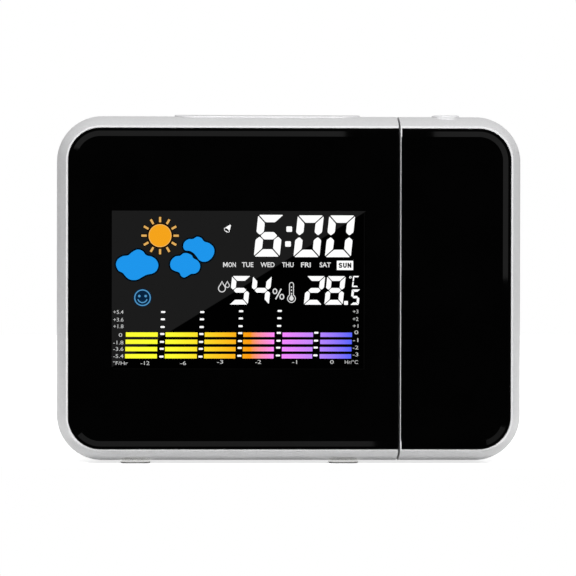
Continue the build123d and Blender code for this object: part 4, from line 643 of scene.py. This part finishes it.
def bell(x, z, size, tilt):
    """Alarm bell leaning over by tilt degrees: body, rim seen from below as an ellipse, and its clapper."""
    half = np.array([(0.78, -0.1), (0.62, 0.45), (0.4, 0.95), (0.16, 1.5)])
    body = np.concatenate([half, half[::-1] * (-1, 1)])
    rim = stroke(disc(0, 0, 1, 24) * (0.92, 0.5) + (0, -0.5), 0.16, closed=True)
    a = np.radians(tilt)
    turn = np.array([[np.cos(a), np.sin(a)], [-np.sin(a), np.cos(a)]])
    return [np.asarray(part) * size @ turn + (x, z) for part in (body, disc(0.2, -0.9, 0.22, 12), *rim)]


def drop(x, z, radius):
    """Drop outline: a circle drawn out to a point above it."""
    a = np.radians(np.linspace(150, 390, 24))
    ring = np.stack([x + radius * np.cos(a), z + radius * np.sin(a)], 1)
    tip = np.array([(0.3, 1.4), (0.0, 2.1), (-0.3, 1.4)]) * radius + (x, z)
    return np.concatenate([ring, tip])


flat_piece("alarm_bell", bell(-20.5, 19.75, 1.05, -36), on_display(1), white_lit)
drops = stroke(drop(-22.37, 0.1, 1.14), 0.3, closed=True) + stroke(drop(-20.6, 1.1, 0.66), 0.26, closed=True)
flat_piece("humidity_drops", drops, on_display(1), legend_lit)
TUBE_X, TUBE_R, TUBE_TOP = 0.53, 0.68, 1.4
BULB_Z, BULB_R = -3.18, 1.3
crown = np.radians(np.linspace(180, 0, 10))
around = np.radians(np.linspace(60, -240, 24))
crown = np.stack([TUBE_X + TUBE_R * np.cos(crown), TUBE_TOP + TUBE_R * np.sin(crown)], 1)
around = np.stack([TUBE_X + BULB_R * np.cos(around), BULB_Z + BULB_R * np.sin(around)], 1)
thermometer = stroke(np.concatenate([crown, around]), 0.26, closed=True) + [drop(TUBE_X, BULB_Z, 0.72)]
thermometer += [disc(TUBE_X, z, 0.24, 12) for z in (0.61, -0.46, -1.53)]
flat_piece("thermometer", thermometer, on_display(1), legend_lit)
percent = stroke([(-4.69, -3.43), (-2.83, 0.03)], 0.42)
for x, z in ((-4.92, -0.8), (-2.63, -2.59)):
    percent += stroke(disc(0, 0, 1, 24) * (0.62, 0.78) + (x, z), 0.36, closed=True)
flat_piece("percent_sign", percent, on_display(1), legend_lit)

# ---------------------------------------------------------------- rear prints
# Pad-printed grey signs, INK thick: one on each key, ON and OFF at the lock slider, and the polarity at the
# power inlet.
REAR = 15.7
KEY_REAR = 16.6
INK = 0.02
LOCK_Z = 20.0
POLARITY_Z = -7.5


def on_rear(x, z, y):
    """Places (across, height) pairs, seen from behind, about a point of the rear at depth y."""
    return lambda flat: [(x - a, y + INK, MID_HEIGHT + z + b) for a, b in flat]


def key_middle(name):
    """Across and height, from mid-height, of a key's middle in millimetres."""
    low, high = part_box(name)
    return (low.x + high.x) / 2 / MM, (low.z + high.z) / 2 / MM - MID_HEIGHT


ink = moulded("grey_pad_print", "3A3B3D", "303133", 0.5, 500.0)
clock_sign = stroke(disc(0, 0, 1.5, 32), 0.28, closed=True)
clock_sign += [rectangle(-0.13, 0, 0.13, 1.0), rectangle(0, -0.13, 0.8, 0.13)]
memory_sign = [rounded(rectangle(-1.4, z, 1.4, z + 0.55), 0.15) for z in (-1.35, -0.3, 0.75)]
bell_half = [(1.3, -0.8), (1.05, -0.5), (0.95, 0.35), (0.75, 0.9), (0.4, 1.2), (0.14, 1.28), (0.14, 1.5)]
bell_half = np.array(bell_half)
SIGNS = {
    "mode_key": clock_sign,
    "up_key": [[(-1.5, -1.0), (1.5, -1.0), (0, 1.4)]],
    "down_key": [[(-1.5, 1.0), (0, -1.4), (1.5, 1.0)]],
    "alarm_key": [np.concatenate([bell_half, bell_half[::-1] * (-1, 1)]), disc(0, -1.3, 0.3, 16)],
    "memory_key": memory_sign,
    "unit_key": lettering([("°C/°F", -3.1, -0.95, 3.1, 0.95)], 0.02),
}
for key, sign in SIGNS.items():
    flat_piece("sign_on_" + key, sign, on_rear(*key_middle(key), KEY_REAR), ink, key)
SLIDER_X, _ = key_middle("hold_slider")
words = lettering([("ON", -4.4, 4.1, -1.6, 5.5), ("OFF", 1.2, 4.1, 4.8, 5.5)], 0.02)
flat_piece("lock_words", words, on_rear(SLIDER_X, LOCK_Z, REAR), ink, "clock")
JACK_X, JACK_Z = key_middle("dc_jack")
polarity = stroke(disc(0, POLARITY_Z, 1.1, 28)[3:25], 0.25) + [disc(0, POLARITY_Z, 0.42, 16)]
for left, right, thin in ((-3.4, -1.2, 0.11), (0.4, 3.4, 0.11), (-5.2, -4.0, 0.12), (4.0, 5.2, 0.12)):
    polarity.append(rectangle(left, POLARITY_Z - thin, right, POLARITY_Z + thin))
polarity.append(rectangle(4.48, POLARITY_Z - 0.6, 4.72, POLARITY_Z + 0.6))
flat_piece("polarity_sign", polarity, on_rear(JACK_X, JACK_Z, REAR), ink, "clock")

# ---------------------------------------------------------------- hidden pieces
# Boards, metal, wires and moulded parts behind the casing, seen through vents, lens and battery bay.
HIDDEN = (
    (
        "moulded_black_ABS", "1B1B1C", "121213", 0.42, 800.0, 0.0,
        "focus_ring lens_barrel hold_slider pivot_tube projector_housing buzzer wire_grommet",
    ),
    ("moulded_white_ABS", "E6E6E3", "DDDDD9", 0.5, 600.0, 0.0, "lcd_frame backlight_board"),
    ("natural_acetal", "E4E2D8", "DAD8CC", 0.35, 500.0, 0.0, "pivot_bush"),
    ("white_reflector_film", "F0F0F0", "E8E8E8", 0.5, 300.0, 0.0, "reflector_sheet"),
    (
        "green_solder_mask", "1F6B3A", "16562D", 0.3, 250.0, 0.0,
        "main_board key_board snooze_board arm_key_board projector_board",
    ),
    ("moulded_epoxy", "222224", "18181A", 0.6, 1500.0, 0.0, "controller_chip"),
    (
        "zinc_plated_steel", "B4B5B8", "9EA0A4", 0.3, 400.0, 1.0,
        "case_screws arm_screws board_screws projector_screws pivot_clip friction_washer",
    ),
    ("nickel_plated_spring_steel", "C9C6BE", "B4B1A9", 0.22, 400.0, 1.0, "battery_tabs battery_leaves"),
    ("blue_sensor_shell", "2E6FB5", "255F9F", 0.45, 600.0, 0.0, "thermo_sensor"),
    (
        "tinned_switch_cans", "8E8F92", "707174", 0.35, 900.0, 0.8,
        "key_switches snooze_switch arm_key_switch slide_switch board_parts",
    ),
    ("PVC_wire_sleeve", "2A2A2C", "1E1E20", 0.4, 600.0, 0.0, "main_wires arm_wires"),
    ("white_LED_package", "EFEFEA", "E4E4DC", 0.3, 500.0, 0.0, "projector_led"),
    ("carbon_striped_rubber", "4A4448", "35302F", 0.6, 3000.0, 0.0, "lcd_connector"),
    ("dark_display_glass", "0C0E10", "060708", 0.05, 200.0, 0.0, "lcd_glass image_lcd"),
)
for name, light, dark, roughness, scale, metal, nodes in HIDDEN:
    wear(moulded(name, light, dark, roughness, scale, metal), *nodes.split())
guide_acrylic = material("clear_light_guide", Roughness=0.05, IOR=1.49, Transmission_Weight=1.0)[0]
lens_glass = material("polished_lens_glass", Roughness=0.01, IOR=1.52, Transmission_Weight=1.0)[0]
wear(guide_acrylic, "light_guide")
wear(lens_glass, "condenser_lens", "objective_lens")

# cells in a shrink sleeve: steel ends beyond the sleeve, a pale band at the raised end
cell_finish, tree, shader = material("shrink_sleeved_cell", Roughness=0.3)
axes = add(tree, "ShaderNodeSeparateXYZ", {"Vector": add(tree, "ShaderNodeTexCoord").outputs["Object"]})
low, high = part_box("battery_cells")
along = add(tree, "ShaderNodeMapRange", {"Value": axes.outputs["X"], "From Min": low.x, "From Max": high.x})
bands = add(tree, "ShaderNodeValToRGB", {"Fac": along.outputs["Result"]})
bands.color_ramp.interpolation = "CONSTANT"
bands.color_ramp.elements[0].color = linear("B9BABC")
bands.color_ramp.elements[1].position = 0.03
bands.color_ramp.elements[1].color = linear("24406E")
bands.color_ramp.elements.new(0.97).color = linear("B9BABC")
tree.links.new(bands.outputs["Color"], shader.inputs["Base Color"])
wear(cell_finish, "battery_cells")

# power inlet: black socket with a nickel pin on its axis
PIN_R = 0.9
jack_finish, tree, shader = material("black_nylon_and_nickel_pin")
axes = add(tree, "ShaderNodeSeparateXYZ", {"Vector": add(tree, "ShaderNodeTexCoord").outputs["Object"]})
off_x = add(tree, "ShaderNodeMath", {0: axes.outputs["X"], 1: -JACK_X * MM}, operation="ADD")
off_z = add(tree, "ShaderNodeMath", {0: axes.outputs["Z"], 1: -(JACK_Z + MID_HEIGHT) * MM}, operation="ADD")
flat = add(tree, "ShaderNodeCombineXYZ", {"X": off_x.outputs[0], "Y": off_z.outputs[0]})
out = add(tree, "ShaderNodeVectorMath", {0: flat.outputs[0]}, operation="LENGTH")
pin = add(tree, "ShaderNodeMath", {0: out.outputs["Value"], 1: PIN_R * MM}, operation="LESS_THAN")
tones = {"Factor": pin.outputs[0], "A": linear("141415"), "B": linear("C8C5BD")}
tone = add(tree, "ShaderNodeMix", tones, data_type="RGBA")
tree.links.new(tone.outputs["Result"], shader.inputs["Base Color"])
tree.links.new(pin.outputs[0], shader.inputs["Metallic"])
wear(jack_finish, "dc_jack")
